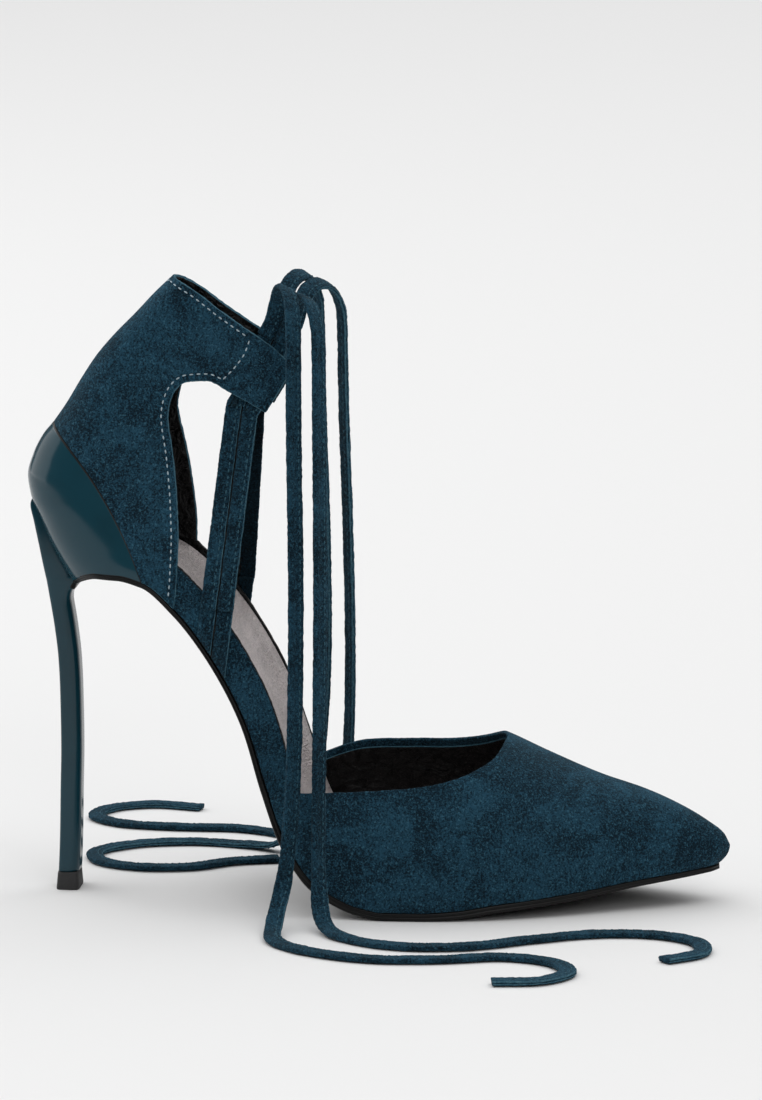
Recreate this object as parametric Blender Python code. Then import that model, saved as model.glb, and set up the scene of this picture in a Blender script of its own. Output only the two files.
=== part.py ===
"""High heeled lace up shoe, right foot: pointed vamp, open waist, high quarter with tabs, blade heel, ties.

Metres, +Z up. The toe points to +X and the outer side faces -Y. The origin is on the floor,
under the middle of the shoe's length and width.
"""
import itertools
import math

import bmesh
import bpy
import numpy as np

# Driving sizes of the last
LENGTH = 0.2158
BALL_WIDTH = 0.076
SEAT_WIDTH = 0.048
SEAT_HEIGHT = 0.1002
BACK_RISE = 0.0910
VAMP_RISE = 0.0510

# Walls and layers
UPPER_WALL = 0.0018
BAND_HEIGHT = 0.0100
BAND_WALL = 0.0015
BAND_STEP = 0.0005
OUTSOLE_FOREPART = 0.0026
OUTSOLE_WAIST = 0.0016
SOCK_THICKNESS = 0.0012
CLEARANCE = 0.0003
BED_CLEARANCE = 0.0004

# Heel
CUP_WALL = 0.0020
BLADE_DEPTH = 0.0064
BLADE_WIDTH = 0.0110
TIP_HEIGHT = 0.0055
TIP_FLARE = 0.0004
CORNER_SQUARENESS = 4.5

# Ties and their tunnels
STRIP_WIDTH = 0.0052
STRIP_THICKNESS = 0.0016
TUNNEL_OUTER_WALL = 0.0012
TUNNEL_INNER_WALL = 0.0012
TUNNEL_SIDE_WALL = 0.0016
TUNNEL_CLEARANCE = 0.0004

# Sole: x is a share of LENGTH from the heel, z a share of SEAT_HEIGHT, outer and inner are shares of
# the half width, which follows SEAT_WIDTH where seat is 1 and BALL_WIDTH where it is 0. The layer goes
# from OUTSOLE_WAIST at 0 to OUTSOLE_FOREPART at 1, and board is the footbed's edge as a share of
# BAND_HEIGHT
SOLE_COLUMNS = ("x", "z", "outer", "inner", "seat", "layer", "board")
SOLE = (
    (0.0680, 0.940, 1.000, 1.000, 1.00, 0.0, 0.60),
    (0.0720, 0.957, 1.000, 1.000, 1.00, 0.0, 0.60),
    (0.0870, 0.983, 1.000, 1.000, 1.00, 0.0, 0.60),
    (0.1110, 0.999, 1.000, 1.000, 1.00, 0.0, 0.60),
    (0.1400, 0.999, 1.000, 1.000, 1.00, 0.0, 0.62),
    (0.1750, 0.981, 1.000, 1.000, 1.00, 0.0, 0.66),
    (0.2215, 0.893, 1.000, 1.000, 1.00, 0.0, 0.74),
    (0.2750, 0.737, 0.957, 0.957, 0.90, 0.0, 0.80),
    (0.3180, 0.557, 0.915, 0.904, 0.70, 0.0, 0.80),
    (0.3470, 0.365, 0.932, 0.906, 0.50, 0.3, 0.76),
    (0.3790, 0.198, 0.957, 0.928, 0.25, 0.6, 0.62),
    (0.4250, 0.076, 0.955, 0.940, 0.00, 0.9, 0.50),
    (0.4850, 0.014, 0.990, 0.990, 0.00, 1.0, 0.42),
    (0.5250, 0.000, 1.000, 1.000, 0.00, 1.0, 0.38),
    (0.5750, 0.000, 0.990, 1.000, 0.00, 1.0, 0.36),
    (0.6250, 0.006, 0.960, 0.980, 0.00, 1.0, 0.34),
    (0.6800, 0.022, 0.890, 0.920, 0.00, 1.0, 0.32),
    (0.7450, 0.036, 0.760, 0.810, 0.00, 0.9, 0.30),
    (0.8100, 0.053, 0.590, 0.660, 0.00, 0.7, 0.28),
    (0.8700, 0.072, 0.420, 0.500, 0.00, 0.5, 0.26),
    (0.9200, 0.084, 0.270, 0.360, 0.00, 0.3, 0.24),
    (0.9550, 0.092, 0.150, 0.250, 0.00, 0.2, 0.22),
    (0.9760, 0.096, 0.050, 0.160, 0.00, 0.1, 0.20),
    (0.9850, 0.098, -0.035, 0.080, 0.00, 0.0, 0.20),
)
SEAT_END = 0.190

# Forepart sections: foot is the x where a section stands on the sole, ridge_x and ridge_z where it
# meets the top of the last, all as shares of LENGTH, with ridge_z a share of VAMP_RISE
FORE_COLUMNS = ("foot", "ridge_x", "ridge_z")
FORE = (
    (0.1850, 0.330, 2.70),
    (0.2215, 0.380, 2.50),
    (0.2750, 0.440, 2.10),
    (0.3180, 0.485, 1.72),
    (0.3470, 0.512, 1.42),
    (0.3790, 0.530, 1.24),
    (0.4250, 0.545, 1.18),
    (0.4850, 0.565, 1.150),
    (0.5400, 0.595, 1.110),
    (0.6100, 0.635, 1.060),
    (0.6750, 0.6790, 1.000),
    (0.7400, 0.7400, 0.885),
    (0.8100, 0.8150, 0.755),
    (0.8700, 0.8800, 0.668),
    (0.9200, 0.9330, 0.570),
    (0.9550, 0.9700, 0.478),
    (0.9760, 0.9910, 0.408),
    (0.9850, 0.9990, 0.345),
)
FORE_ROUNDNESS = 2.15
TOE_BULGE = 0.0010
TOE_BULGE_SPAN = (0.920, 0.985)

# Topline of the vamp, outer side (-1) and inner side (1): x a share of LENGTH, z a share of VAMP_RISE
TOPLINES = {
    -1: (
        (0.340, 0.722),
        (0.390, 0.727),
        (0.446, 0.740),
        (0.500, 0.753),
        (0.550, 0.768),
        (0.595, 0.793),
        (0.629, 0.829),
        (0.657, 0.879),
        (0.672, 0.916),
        (0.680, 0.953),
        (0.686, 1.000),
    ),
    1: (
        (0.340, 0.722),
        (0.380, 0.728),
        (0.407, 0.746),
        (0.428, 0.782),
        (0.467, 0.832),
        (0.509, 0.845),
        (0.546, 0.852),
        (0.583, 0.860),
        (0.607, 0.871),
        (0.631, 0.892),
        (0.648, 0.915),
        (0.662, 0.943),
        (0.675, 0.975),
        (0.686, 1.000),
    ),
}

# Back of the shoe: rise is a share of BACK_RISE above SEAT_HEIGHT, back the x of the back line as a
# share of LENGTH, half the half width as a share of half the SEAT_WIDTH
BACK_COLUMNS = ("rise", "back", "half")
BACK = (
    (-0.063, 0.068, 1.000),
    (0.020, 0.048, 1.000),
    (0.100, 0.0305, 0.945),
    (0.180, 0.0165, 0.880),
    (0.250, 0.0045, 0.800),
    (0.320, 0.0000, 0.720),
    (0.390, 0.0080, 0.640),
    (0.455, 0.0220, 0.570),
    (0.500, 0.0375, 0.525),
    (0.5615, 0.0555, 0.475),
    (0.650, 0.0780, 0.420),
    (0.725, 0.0990, 0.375),
    (0.795, 0.1240, 0.340),
    (0.870, 0.1550, 0.310),
    (0.940, 0.1826, 0.285),
    (1.000, 0.2090, 0.265),
)
BACK_FULLNESS = 1.20

# Quarter, a row per fold of its side view, from the sole to the front corner. back is the rise on the
# back line, foot the x of the sole's station that the row ends on, and bow bends a row forward by a
# share of its length
SEAT_FOLD_COLUMNS = ("back", "foot", "bow")
SEAT_FOLDS = (
    (-0.035, 0.0735, 0.000),
    (0.020, 0.0930, 0.014),
    (0.140, 0.1260, 0.033),
    (0.250, 0.1480, 0.047),
    (0.330, 0.1600, 0.056),
    (0.412, 0.1670, 0.061),
    (0.500, 0.1725, 0.061),
    (0.5615, 0.1960, 0.052),
    (0.606, 0.2150, 0.042),
)
# The folds above, that end on the front edge, the keyhole and the tab's lower edge: x a share of
# LENGTH, rise a share of BACK_RISE. The first ones start on the back line, the last ones on the top edge
FRONT_FOLD_COLUMNS = ("back_x", "back", "x", "rise", "bow")
FRONT_FOLDS = (
    (0.0780, 0.650, 0.2252, 0.012, 0.028),
    (0.0890, 0.689, 0.2266, 0.130, 0.019),
    (0.1035, 0.740, 0.2233, 0.262, 0.009),
    (0.1240, 0.795, 0.2160, 0.404, 0.005),
    (0.1550, 0.870, 0.2066, 0.541, 0.00),
    (0.2090, 1.000, 0.2145, 0.620, 0.00),
    (0.2428, 0.953, 0.2345, 0.656, 0.00),
    (0.2785, 0.890, 0.2620, 0.660, 0.00),
    (0.3207, 0.822, 0.2940, 0.624, 0.00),
    (0.3485, 0.779, 0.3195, 0.593, 0.00),
    (0.3830, 0.708, 0.3452, 0.559, 0.00),
)
CUP_FOLD = 6
FRONT_CORNER_FOLD = 8
TOP_CORNER_FOLD = 14
LAST_FOLD = 19
FOLD_STEP = 0.05
QUARTER_START_FOLD = 0.8

# Tunnel in the tab: the middle of its lower and of its upper mouth
TUNNEL_MOUTHS = ((0.3188, 0.5935), (0.3505, 0.774))
# How far its block and its slot run past the mouths
TUNNEL_BLOCK_OVERRUNS = (-0.0020, -0.0030)
TUNNEL_SLOT_OVERRUNS = (0.0060, 0.0060)

# Blade of the heel: z is a share of SEAT_HEIGHT, back the x of its back face as a share of LENGTH,
# width a share of BLADE_WIDTH
BLADE_COLUMNS = ("z", "back", "width")
BLADE = (
    (0.000, 0.0398, 1.00),
    (0.170, 0.0431, 0.98),
    (0.315, 0.0445, 0.96),
    (0.458, 0.0459, 0.96),
    (0.631, 0.0450, 0.97),
    (0.724, 0.0431, 0.98),
    (0.816, 0.0385, 1.00),
    (0.880, 0.0340, 1.00),
    (0.940, 0.0292, 1.00),
)
# Fin of the blade up the cup's back: rise is a share of BACK_RISE
FIN_COLUMNS = ("rise", "back", "width")
FIN = (
    (-0.033, 0.0265, 0.99),
    (0.011, 0.0225, 0.98),
    (0.088, 0.0160, 0.92),
    (0.165, 0.0090, 0.80),
    (0.220, 0.0040, 0.62),
    (0.248, 0.0085, 0.45),
)
FIN_BITE = 0.60

# Section of a strip: where its flat ends and where its edge starts, and a pair's groove, as shares of
# its half width and half thickness
STRIP_FLAT = 0.85
STRIP_EDGE = 0.35
GROOVE_SHARE = 0.55

# Bars: where they leave the sole's waist as a share of LENGTH, their climb past the band in band
# heights, the run in line with the tunnel below and above it, and the height in which they turn
TIE_FOOT_X = 0.266
BAR_CLIMBS = (0.95, 1.50, 2.10)
BAR_APPROACH = (0.0050, 0.0025)
TIE_END_RUN = 0.0015
BAR_TURN = 0.0250

# Heights between which a free end turns flat to the floor
LYING_FROM = 0.0200
LYING_AT = 0.0040

# Free tie ends, hand chosen points in metres from where each strip leaves its tunnel to its end on the
# floor. The names say the side of the foot and the strip's place in its pair
TIE_ROUTES = {
    "tie_end_outer_front": (
        (-0.0290, -0.0062, 0.1712), (-0.0266, -0.0065, 0.1756), (-0.0249, -0.0078, 0.1814),
        (-0.0233, -0.0120, 0.1855), (-0.0206, -0.0177, 0.1869), (-0.0178, -0.0233, 0.1849),
        (-0.0159, -0.0271, 0.1800), (-0.0152, -0.0288, 0.1735), (-0.0148, -0.0305, 0.1450),
        (-0.0142, -0.0340, 0.1050), (-0.0140, -0.0375, 0.0680), (-0.0140, -0.0405, 0.0380),
        (-0.0135, -0.0455, 0.0160), (-0.0110, -0.0545, 0.0035), (-0.0030, -0.0650, 0.0012),
        (0.0130, -0.0735, 0.0012), (0.0330, -0.0720, 0.0012), (0.0520, -0.0610, 0.0012),
        (0.0700, -0.0520, 0.0012), (0.0880, -0.0510, 0.0012), (0.1010, -0.0590, 0.0012),
        (0.1030, -0.0730, 0.0012), (0.0930, -0.0830, 0.0012),
    ),
    "tie_end_outer_back": (
        (-0.0341, -0.0058, 0.1734), (-0.0317, -0.0060, 0.1778), (-0.0300, -0.0076, 0.1837),
        (-0.0285, -0.0118, 0.1880), (-0.0262, -0.0174, 0.1895), (-0.0243, -0.0230, 0.1876),
        (-0.0232, -0.0270, 0.1828), (-0.0228, -0.0287, 0.1765), (-0.0225, -0.0305, 0.1450),
        (-0.0216, -0.0340, 0.1050), (-0.0214, -0.0378, 0.0680), (-0.0220, -0.0410, 0.0380),
        (-0.0235, -0.0470, 0.0160), (-0.0255, -0.0575, 0.0035), (-0.0235, -0.0710, 0.0012),
        (-0.0120, -0.0830, 0.0012), (0.0070, -0.0905, 0.0012), (0.0270, -0.0890, 0.0012),
        (0.0450, -0.0840, 0.0012), (0.0600, -0.0890, 0.0012), (0.0660, -0.1010, 0.0012),
        (0.0590, -0.1120, 0.0012), (0.0450, -0.1150, 0.0012),
    ),
    "tie_end_inner_front": (
        (-0.0290, 0.0062, 0.1712), (-0.0266, 0.0065, 0.1756), (-0.0248, 0.0079, 0.1814),
        (-0.0230, 0.0122, 0.1854), (-0.0202, 0.0180, 0.1867), (-0.0173, 0.0236, 0.1846),
        (-0.0153, 0.0273, 0.1797), (-0.0145, 0.0289, 0.1732), (-0.0141, 0.0305, 0.1450),
        (-0.0132, 0.0340, 0.1050), (-0.0130, 0.0378, 0.0680), (-0.0140, 0.0412, 0.0380),
        (-0.0170, 0.0485, 0.0160), (-0.0240, 0.0605, 0.0035), (-0.0355, 0.0735, 0.0012),
        (-0.0530, 0.0825, 0.0012), (-0.0740, 0.0830, 0.0012), (-0.0920, 0.0860, 0.0012),
        (-0.1020, 0.0960, 0.0012), (-0.0990, 0.1090, 0.0012), (-0.0860, 0.1160, 0.0012),
        (-0.0700, 0.1130, 0.0012),
    ),
    "tie_end_inner_back": (
        (-0.0341, 0.0058, 0.1734), (-0.0317, 0.0060, 0.1778), (-0.0299, 0.0077, 0.1837),
        (-0.0282, 0.0120, 0.1879), (-0.0257, 0.0177, 0.1893), (-0.0235, 0.0232, 0.1873),
        (-0.0223, 0.0271, 0.1825), (-0.0218, 0.0288, 0.1762), (-0.0214, 0.0305, 0.1450),
        (-0.0206, 0.0340, 0.1050), (-0.0208, 0.0376, 0.0680), (-0.0230, 0.0408, 0.0380),
        (-0.0280, 0.0460, 0.0160), (-0.0370, 0.0535, 0.0035), (-0.0490, 0.0595, 0.0012),
        (-0.0660, 0.0620, 0.0012), (-0.0830, 0.0570, 0.0012), (-0.0940, 0.0450, 0.0012),
        (-0.0910, 0.0310, 0.0012), (-0.0780, 0.0240, 0.0012), (-0.0620, 0.0260, 0.0012),
        (-0.0500, 0.0350, 0.0012), (-0.0360, 0.0400, 0.0012),
    ),
}
TIE_POINTS = 56

# Vamp and band along the sole, as shares of LENGTH
THROAT_FOOT = 0.6825
VAMP_START_SEARCH = (0.33, 0.40)
VAMP_CORNER = 0.0020
BAND_SPAN = (0.200, 0.372)

# Footbed and sock: the inset goes from the seat's to the forepart's between two shares of LENGTH, the
# dish is a share of the edge's height and the lean is how far the back end may tip
BED_SPAN = (0.088, 0.950)
FOOTBED_INSET = BAND_STEP + BAND_WALL + BED_CLEARANCE
FOOTBED_INSET_SEAT = CUP_WALL + UPPER_WALL + 3 * CLEARANCE
INSET_CHANGE = (0.170, 0.235)
BED_END_HALF = 0.0020
DISH_SHARE = 0.25
BED_LEAN = 0.12

# How finely the meshes are divided, and how strongly rows gather at one end
QUARTER_ACROSS = 9
QUARTER_GATHER = 1.7
QUARTER_UNDER = 9
QUARTER_SIDE = 14
QUARTER_TOP = 11
CUP_ROWS = 10
VAMP_STATIONS_OPEN = 15
VAMP_STATIONS_CLOSED = 15
VAMP_GATHER = 1.5
VAMP_ROWS = 8
BAND_STATIONS = 16
BAND_ROWS = 4
TUNNEL_STATIONS = 8
OUTSOLE_STATIONS = 62
BED_STATIONS = 36
BED_GATHER = 1.6
BED_ACROSS = 7
BLADE_STATIONS = 16
BLADE_CORNERS = 20
BAR_POINTS = 26

# Finishes: base colour, roughness, metallic
FINISHES = {
    "suede_teal": ((0.012, 0.055, 0.085), 0.95, 0.0),
    "patent_teal": ((0.010, 0.050, 0.062), 0.15, 0.0),
    "leather_taupe": ((0.230, 0.205, 0.205), 0.45, 0.1),
    "board_black": ((0.020, 0.020, 0.021), 0.80, 0.0),
    "rubber_black": ((0.012, 0.012, 0.013), 0.70, 0.0),
}
NODE_FINISHES = {
    "outsole": "rubber_black",
    "footbed": "board_black",
    "sock": "leather_taupe",
    "upper": "suede_teal",
    "heel": "patent_teal",
    "heel_tip": "rubber_black",
    "tie_bar_outer": "suede_teal",
    "tie_bar_inner": "suede_teal",
    "tie_end_outer_front": "suede_teal",
    "tie_end_outer_back": "suede_teal",
    "tie_end_inner_front": "suede_teal",
    "tie_end_inner_back": "suede_teal",
}


# Curves through tables

def spline(xs, ys, x):
    """A smooth curve through the points xs, ys that keeps their rises and falls, read at x."""
    xs, ys, x = np.asarray(xs, float), np.asarray(ys, float), np.asarray(x, float)
    steps = np.diff(xs)
    slopes = np.diff(ys) / steps
    tangents = np.empty(len(xs))
    tangents[0], tangents[-1] = slopes[0], slopes[-1]
    for i in range(1, len(xs) - 1):
        before, after = slopes[i - 1], slopes[i]
        near, far = 2 * steps[i] + steps[i - 1], steps[i] + 2 * steps[i - 1]
        tangents[i] = (near + far) / (near / before + far / after) if before * after > 0 else 0.0
    at = np.clip(np.searchsorted(xs, x, side="right") - 1, 0, len(xs) - 2)
    t = np.clip((x - xs[at]) / steps[at], 0.0, 1.0)
    start = (1 + 2 * t) * (1 - t) ** 2 * ys[at] + t * (1 - t) ** 2 * steps[at] * tangents[at]
    end = t * t * (3 - 2 * t) * ys[at + 1] - t * t * (1 - t) * steps[at] * tangents[at + 1]
    return start + end


def column(rows, columns, name):
    return np.array([row[columns.index(name)] for row in rows])


def sole_column(name, q):
    """A column of the sole's table at the station q, counted in rows."""
    return spline(range(len(SOLE)), column(SOLE, SOLE_COLUMNS, name), q)


def station_of(x_share):
    """The sole's station at this share of the length."""
    return float(np.interp(x_share, column(SOLE, SOLE_COLUMNS, "x"), range(len(SOLE))))


def x_at(share):
    """A share of the length as a place in the part's frame, with the origin in the middle."""
    return (share - 0.5) * LENGTH


def z_at(rise):
    return SEAT_HEIGHT + rise * BACK_RISE


# Sole

def sole_line(q):
    """The bottom of the sole's edge in the side view."""
    return np.array([x_at(sole_column("x", q)), sole_column("z", q) * SEAT_HEIGHT])


def sole_normal(q):
    """The direction from the floor side to the foot side of the sole, in the side view."""
    step = 0.25
    along = sole_line(min(q + step, len(SOLE) - 1)) - sole_line(max(q - step, 0))
    along /= np.linalg.norm(along)
    return np.array([-along[1], along[0]])


def layer(q):
    return OUTSOLE_WAIST + (OUTSOLE_FOREPART - OUTSOLE_WAIST) * float(sole_column("layer", q))


def feather(q):
    """Where the upper and the footbed stand on the outsole, in the side view."""
    return sole_line(q) + sole_normal(q) * (layer(q) + CLEARANCE)


def sole_sides(q):
    """The y of the sole's outer and inner edge."""
    seat = float(sole_column("seat", q))
    half = (SEAT_WIDTH * seat + BALL_WIDTH * (1 - seat)) / 2
    outer = float(sole_column("outer", q)) * half
    inner = float(sole_column("inner", q)) * half
    if sole_column("x", q) < SEAT_END:
        half = max(back_half(*feather(q)), BLADE_WIDTH / 2)
        outer = min(outer, half)
        inner = min(inner, half)
    return -outer, inner


# Back of the shoe

def back_line(z):
    """The x of the back line at a height."""
    rise = (z - SEAT_HEIGHT) / BACK_RISE
    return x_at(spline(column(BACK, BACK_COLUMNS, "rise"), column(BACK, BACK_COLUMNS, "back"), rise))


def back_half(x, z):
    """The half width of the back of the shoe at a point of its side view."""
    rise = (z - SEAT_HEIGHT) / BACK_RISE
    share = spline(column(BACK, BACK_COLUMNS, "rise"), column(BACK, BACK_COLUMNS, "half"), rise)
    half = share * SEAT_WIDTH / 2
    reach = np.clip((x - back_line(z)) / (BACK_FULLNESS * half), 0.0, 1.0)
    return half * np.sqrt(1 - (1 - reach) ** 2)


def fold_column(name):
    """A column that both fold tables have, for all folds."""
    return np.append(column(SEAT_FOLDS, SEAT_FOLD_COLUMNS, name), column(FRONT_FOLDS, FRONT_FOLD_COLUMNS, name))


def fold_ends(u):
    """Both ends and the bow of the quarter's fold u, counted in rows, in the side view."""
    all_back = fold_column("back")
    if u <= TOP_CORNER_FOLD:
        back_z = z_at(spline(range(TOP_CORNER_FOLD + 1), all_back[:TOP_CORNER_FOLD + 1], u))
        back = np.array([back_line(back_z), back_z])
    else:
        top = range(TOP_CORNER_FOLD, LAST_FOLD + 1)
        top_x = column(FRONT_FOLDS, FRONT_FOLD_COLUMNS, "back_x")[-len(top):]
        back = np.array([x_at(spline(top, top_x, u)), z_at(spline(top, all_back[TOP_CORNER_FOLD:], u))])
    corner = feather(station_of(SEAT_FOLDS[FRONT_CORNER_FOLD][1]))
    if u <= FRONT_CORNER_FOLD:
        feet = column(SEAT_FOLDS, SEAT_FOLD_COLUMNS, "foot")
        front = feather(station_of(spline(range(len(feet)), feet, u)))
    else:
        rows = range(FRONT_CORNER_FOLD, LAST_FOLD + 1)
        xs = np.append(corner[0], x_at(column(FRONT_FOLDS, FRONT_FOLD_COLUMNS, "x")))
        zs = np.append(corner[1], z_at(column(FRONT_FOLDS, FRONT_FOLD_COLUMNS, "rise")))
        front = np.array([spline(rows, xs, u), spline(rows, zs, u)])
    return back, front, float(spline(range(LAST_FOLD + 1), fold_column("bow"), u))


def back_sheet(folds, insets, across):
    """The back of the shoe as points and faces, set in from its outer surface by each fold's inset."""
    shares = (np.arange(across + 1) / across) ** QUARTER_GATHER
    points, numbers = [], {}
    for i, u in enumerate(folds):
        back, front, bow = fold_ends(u)
        run = front - back
        aside = np.array([-run[1], run[0]])
        for j, share in enumerate(shares):
            x, z = back + run * share + aside * bow * 4 * share * (1 - share)
            half = back_half(x, z)
            middle = j == 0 and u <= TOP_CORNER_FOLD
            for side in (-1, 1):
                if middle and side == 1:
                    numbers[i, j, side] = numbers[i, j, -1]
                    continue
                numbers[i, j, side] = len(points)
                on_sole = j == across and u <= FRONT_CORNER_FOLD
                points.append(((x, 0.0 if middle else side * half, z), insets[i], on_sole))
    faces = []
    for i in range(len(folds) - 1):
        for j in range(across):
            for side in (-1, 1):
                corners = ((i, j), (i, j + 1), (i + 1, j + 1), (i + 1, j))
                face = [numbers[row, place, side] for row, place in corners]
                faces.append(face if side == -1 else face[::-1])
    return points, faces


# Forepart

def fore_section(q):
    """Foot and ridge of the forepart's section at station q, in the side view."""
    share = float(sole_column("x", q))
    feet = column(FORE, FORE_COLUMNS, "foot")
    ridge_x = x_at(spline(feet, column(FORE, FORE_COLUMNS, "ridge_x"), share))
    ridge_z = spline(feet, column(FORE, FORE_COLUMNS, "ridge_z"), share) * VAMP_RISE
    return feather(q), np.array([ridge_x, ridge_z])


def fore_point(q, side, climb, set_in=0.0):
    """A point of the forepart's surface: climb goes from 0 on the sole to 1 on the ridge."""
    foot, ridge = fore_section(q)
    outer, inner = sole_sides(q)
    middle, half = (outer + inner) / 2, (inner - outer) / 2
    spread = (1 - min(climb, 1.0) ** FORE_ROUNDNESS) ** (1 / FORE_ROUNDNESS)
    x, z = foot + (ridge - foot) * climb
    start, end = TOE_BULGE_SPAN
    toe = max(0.0, (float(sole_column("x", q)) - start) / (end - start))
    x += TOE_BULGE * toe * 4 * climb * (1 - climb)
    return np.array([x, middle + side * (half * spread - set_in), z])


def topline_z(x, side):
    shares, heights = np.array(TOPLINES[side]).T
    return spline(x_at(shares), heights * VAMP_RISE, x)


def topline_climb(q, side):
    """How far up its section the vamp goes on this side at station q."""
    foot, ridge = fore_section(q)
    if sole_column("x", q) >= THROAT_FOOT:
        return 1.0
    low, high = 0.0, 1.0
    for _ in range(40):
        middle = (low + high) / 2
        x, z = foot + (ridge - foot) * middle
        if z < topline_z(x, side):
            low = middle
        else:
            high = middle
    return low


def vamp_start():
    """The station where the topline comes down to the sole, a corner's height before it would end."""
    first, last = VAMP_START_SEARCH
    stations = np.linspace(station_of(first), station_of(last), 400)
    for q in stations:
        x, z = feather(q)
        if topline_z(x, -1) - z > VAMP_CORNER:
            return float(q)
    return float(stations[-1])


# Meshes

def mesh_object(name, points, faces, node):
    """A mesh with the material of the node that it belongs to."""
    mesh = bpy.data.meshes.new(name)
    mesh.from_pydata([tuple(float(c) for c in p) for p in points], [], faces)
    mesh.update()
    thing = bpy.data.objects.new(name, mesh)
    bpy.context.scene.collection.objects.link(thing)
    thing.data.materials.append(bpy.data.materials[node])
    return thing


def clean(thing, outward):
    """Joins points that lie on each other, and turns the faces outward where the mesh is closed."""
    work = bmesh.new()
    work.from_mesh(thing.data)
    bmesh.ops.remove_doubles(work, verts=work.verts, dist=0.00001)
    bmesh.ops.dissolve_degenerate(work, edges=work.edges, dist=0.000001)
    if outward:
        bmesh.ops.recalc_face_normals(work, faces=work.faces)
        if work.calc_volume(signed=True) < 0:
            bmesh.ops.reverse_faces(work, faces=work.faces)
    work.to_mesh(thing.data)
    work.free()
    return thing


def loft(name, rings, node):
    """A closed solid through rings of equally many points."""
    size = len(rings[0])
    points = [p for ring in rings for p in ring]
    faces = [list(range(size))[::-1], [len(points) - size + k for k in range(size)]]
    for i in range(len(rings) - 1):
        for k in range(size):
            a, b = i * size + k, i * size + (k + 1) % size
            faces.append([a, b, b + size, a + size])
    return clean(mesh_object(name, points, faces, node), outward=True)


def wall(thing, thickness):
    """Gives a sheet its wall, inward from its outer surface."""
    solidify = thing.modifiers.new("wall", "SOLIDIFY")
    solidify.thickness = thickness
    solidify.offset = -1.0
    solidify.use_even_offset = True
    solidify.use_quality_normals = True
    return thing


def cutter(thing):
    """Hides a solid that only shapes another one."""
    thing.hide_render = True
    thing.display_type = "WIRE"
    return thing


def boolean(thing, other, operation):
    modifier = thing.modifiers.new(operation.lower(), "BOOLEAN")
    modifier.operation = operation
    modifier.solver = "EXACT"
    modifier.object = cutter(other)


def inset_points(points, faces):
    """Moves each point inward by its own inset along the sheet's normal there."""
    places = np.array([place for place, _, _ in points])
    normals = np.zeros_like(places)
    for face in faces:
        corners = places[face]
        normal = np.cross(corners[2] - corners[0], corners[3] - corners[1])
        for number in face:
            normals[number] += normal
    normals /= np.maximum(np.linalg.norm(normals, axis=1), 1e-12)[:, None]
    moves = -normals * np.array([inset for _, inset, _ in points])[:, None]
    on_sole = np.array([flag for _, _, flag in points])
    moves[on_sole, 2] = np.maximum(moves[on_sole, 2], 0.0)
    return places + moves


# Upper

def make_quarter():
    """Back part of the upper: its wall steps in under the heel's cup."""
    under = list(np.linspace(QUARTER_START_FOLD, CUP_FOLD, QUARTER_UNDER))
    above = list(np.linspace(CUP_FOLD + FOLD_STEP, TOP_CORNER_FOLD, QUARTER_SIDE))
    above += list(np.linspace(TOP_CORNER_FOLD, LAST_FOLD, QUARTER_TOP))[1:]
    insets = [CUP_WALL + CLEARANCE] * len(under) + [0.0] * len(above)
    points, faces = back_sheet(under + above, insets, QUARTER_ACROSS)
    thing = mesh_object("upper", inset_points(points, faces), faces, "upper")
    return wall(clean(thing, outward=False), UPPER_WALL)


def fore_sheet(name, stations, climbs, set_in, closed_toe):
    """Both sides of the forepart's surface between stations, each with its own climbs, as one sheet."""
    points, faces = [], []
    rows = len(climbs[1][0])
    for side in (-1, 1):
        base = len(points)
        for q, climb_row in zip(stations, climbs[side]):
            points += [fore_point(q, side, climb, set_in) for climb in climb_row]
        for i in range(len(stations) - 1):
            for j in range(rows - 1):
                a = base + i * rows + j
                face = [a, a + rows, a + rows + 1, a + 1]
                faces.append(face if side == -1 else face[::-1])
    if closed_toe:
        last = (len(stations) - 1) * rows
        other = len(stations) * rows + last
        faces += [[last + j, other + j, other + j + 1, last + j + 1] for j in range(rows - 1)]
    return clean(mesh_object(name, points, faces, "upper"), outward=False)


def make_vamp():
    """Closed front of the upper, with its rows gathered towards the throat."""
    throat = station_of(THROAT_FOOT)
    gathered = (1 - np.linspace(0, 1, VAMP_STATIONS_OPEN)) ** VAMP_GATHER
    stations = list(throat - (throat - vamp_start()) * gathered)
    stations += list(np.linspace(throat, len(SOLE) - 1, VAMP_STATIONS_CLOSED))[1:]
    climbs = {-1: [], 1: []}
    for side, q in itertools.product(climbs, stations):
        top = math.asin(topline_climb(q, side) ** (FORE_ROUNDNESS / 2))
        row = [math.sin(top * j / VAMP_ROWS) ** (2 / FORE_ROUNDNESS) for j in range(VAMP_ROWS + 1)]
        climbs[side].append(row)
    return wall(fore_sheet("vamp_wall", stations, climbs, 0.0, True), UPPER_WALL)


def make_band():
    """Low covered edge along the waist, under the quarter and the vamp at its ends."""
    stations = np.linspace(station_of(BAND_SPAN[0]), station_of(BAND_SPAN[1]), BAND_STATIONS)
    climbs = []
    for q in stations:
        foot, ridge = fore_section(q)
        reach = BAND_HEIGHT / np.linalg.norm(ridge - foot)
        climbs.append([reach * j / BAND_ROWS for j in range(BAND_ROWS + 1)])
    both = {-1: climbs, 1: climbs}
    return wall(fore_sheet("band_wall", stations, both, BAND_STEP, False), BAND_WALL)


def tunnel_frame():
    """Lower mouth, upper mouth and the direction across the tunnel, in the side view."""
    low, high = [np.array([x_at(x), z_at(rise)]) for x, rise in TUNNEL_MOUTHS]
    along = (high - low) / np.linalg.norm(high - low)
    return low, high, along, np.array([along[1], -along[0]])


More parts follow.
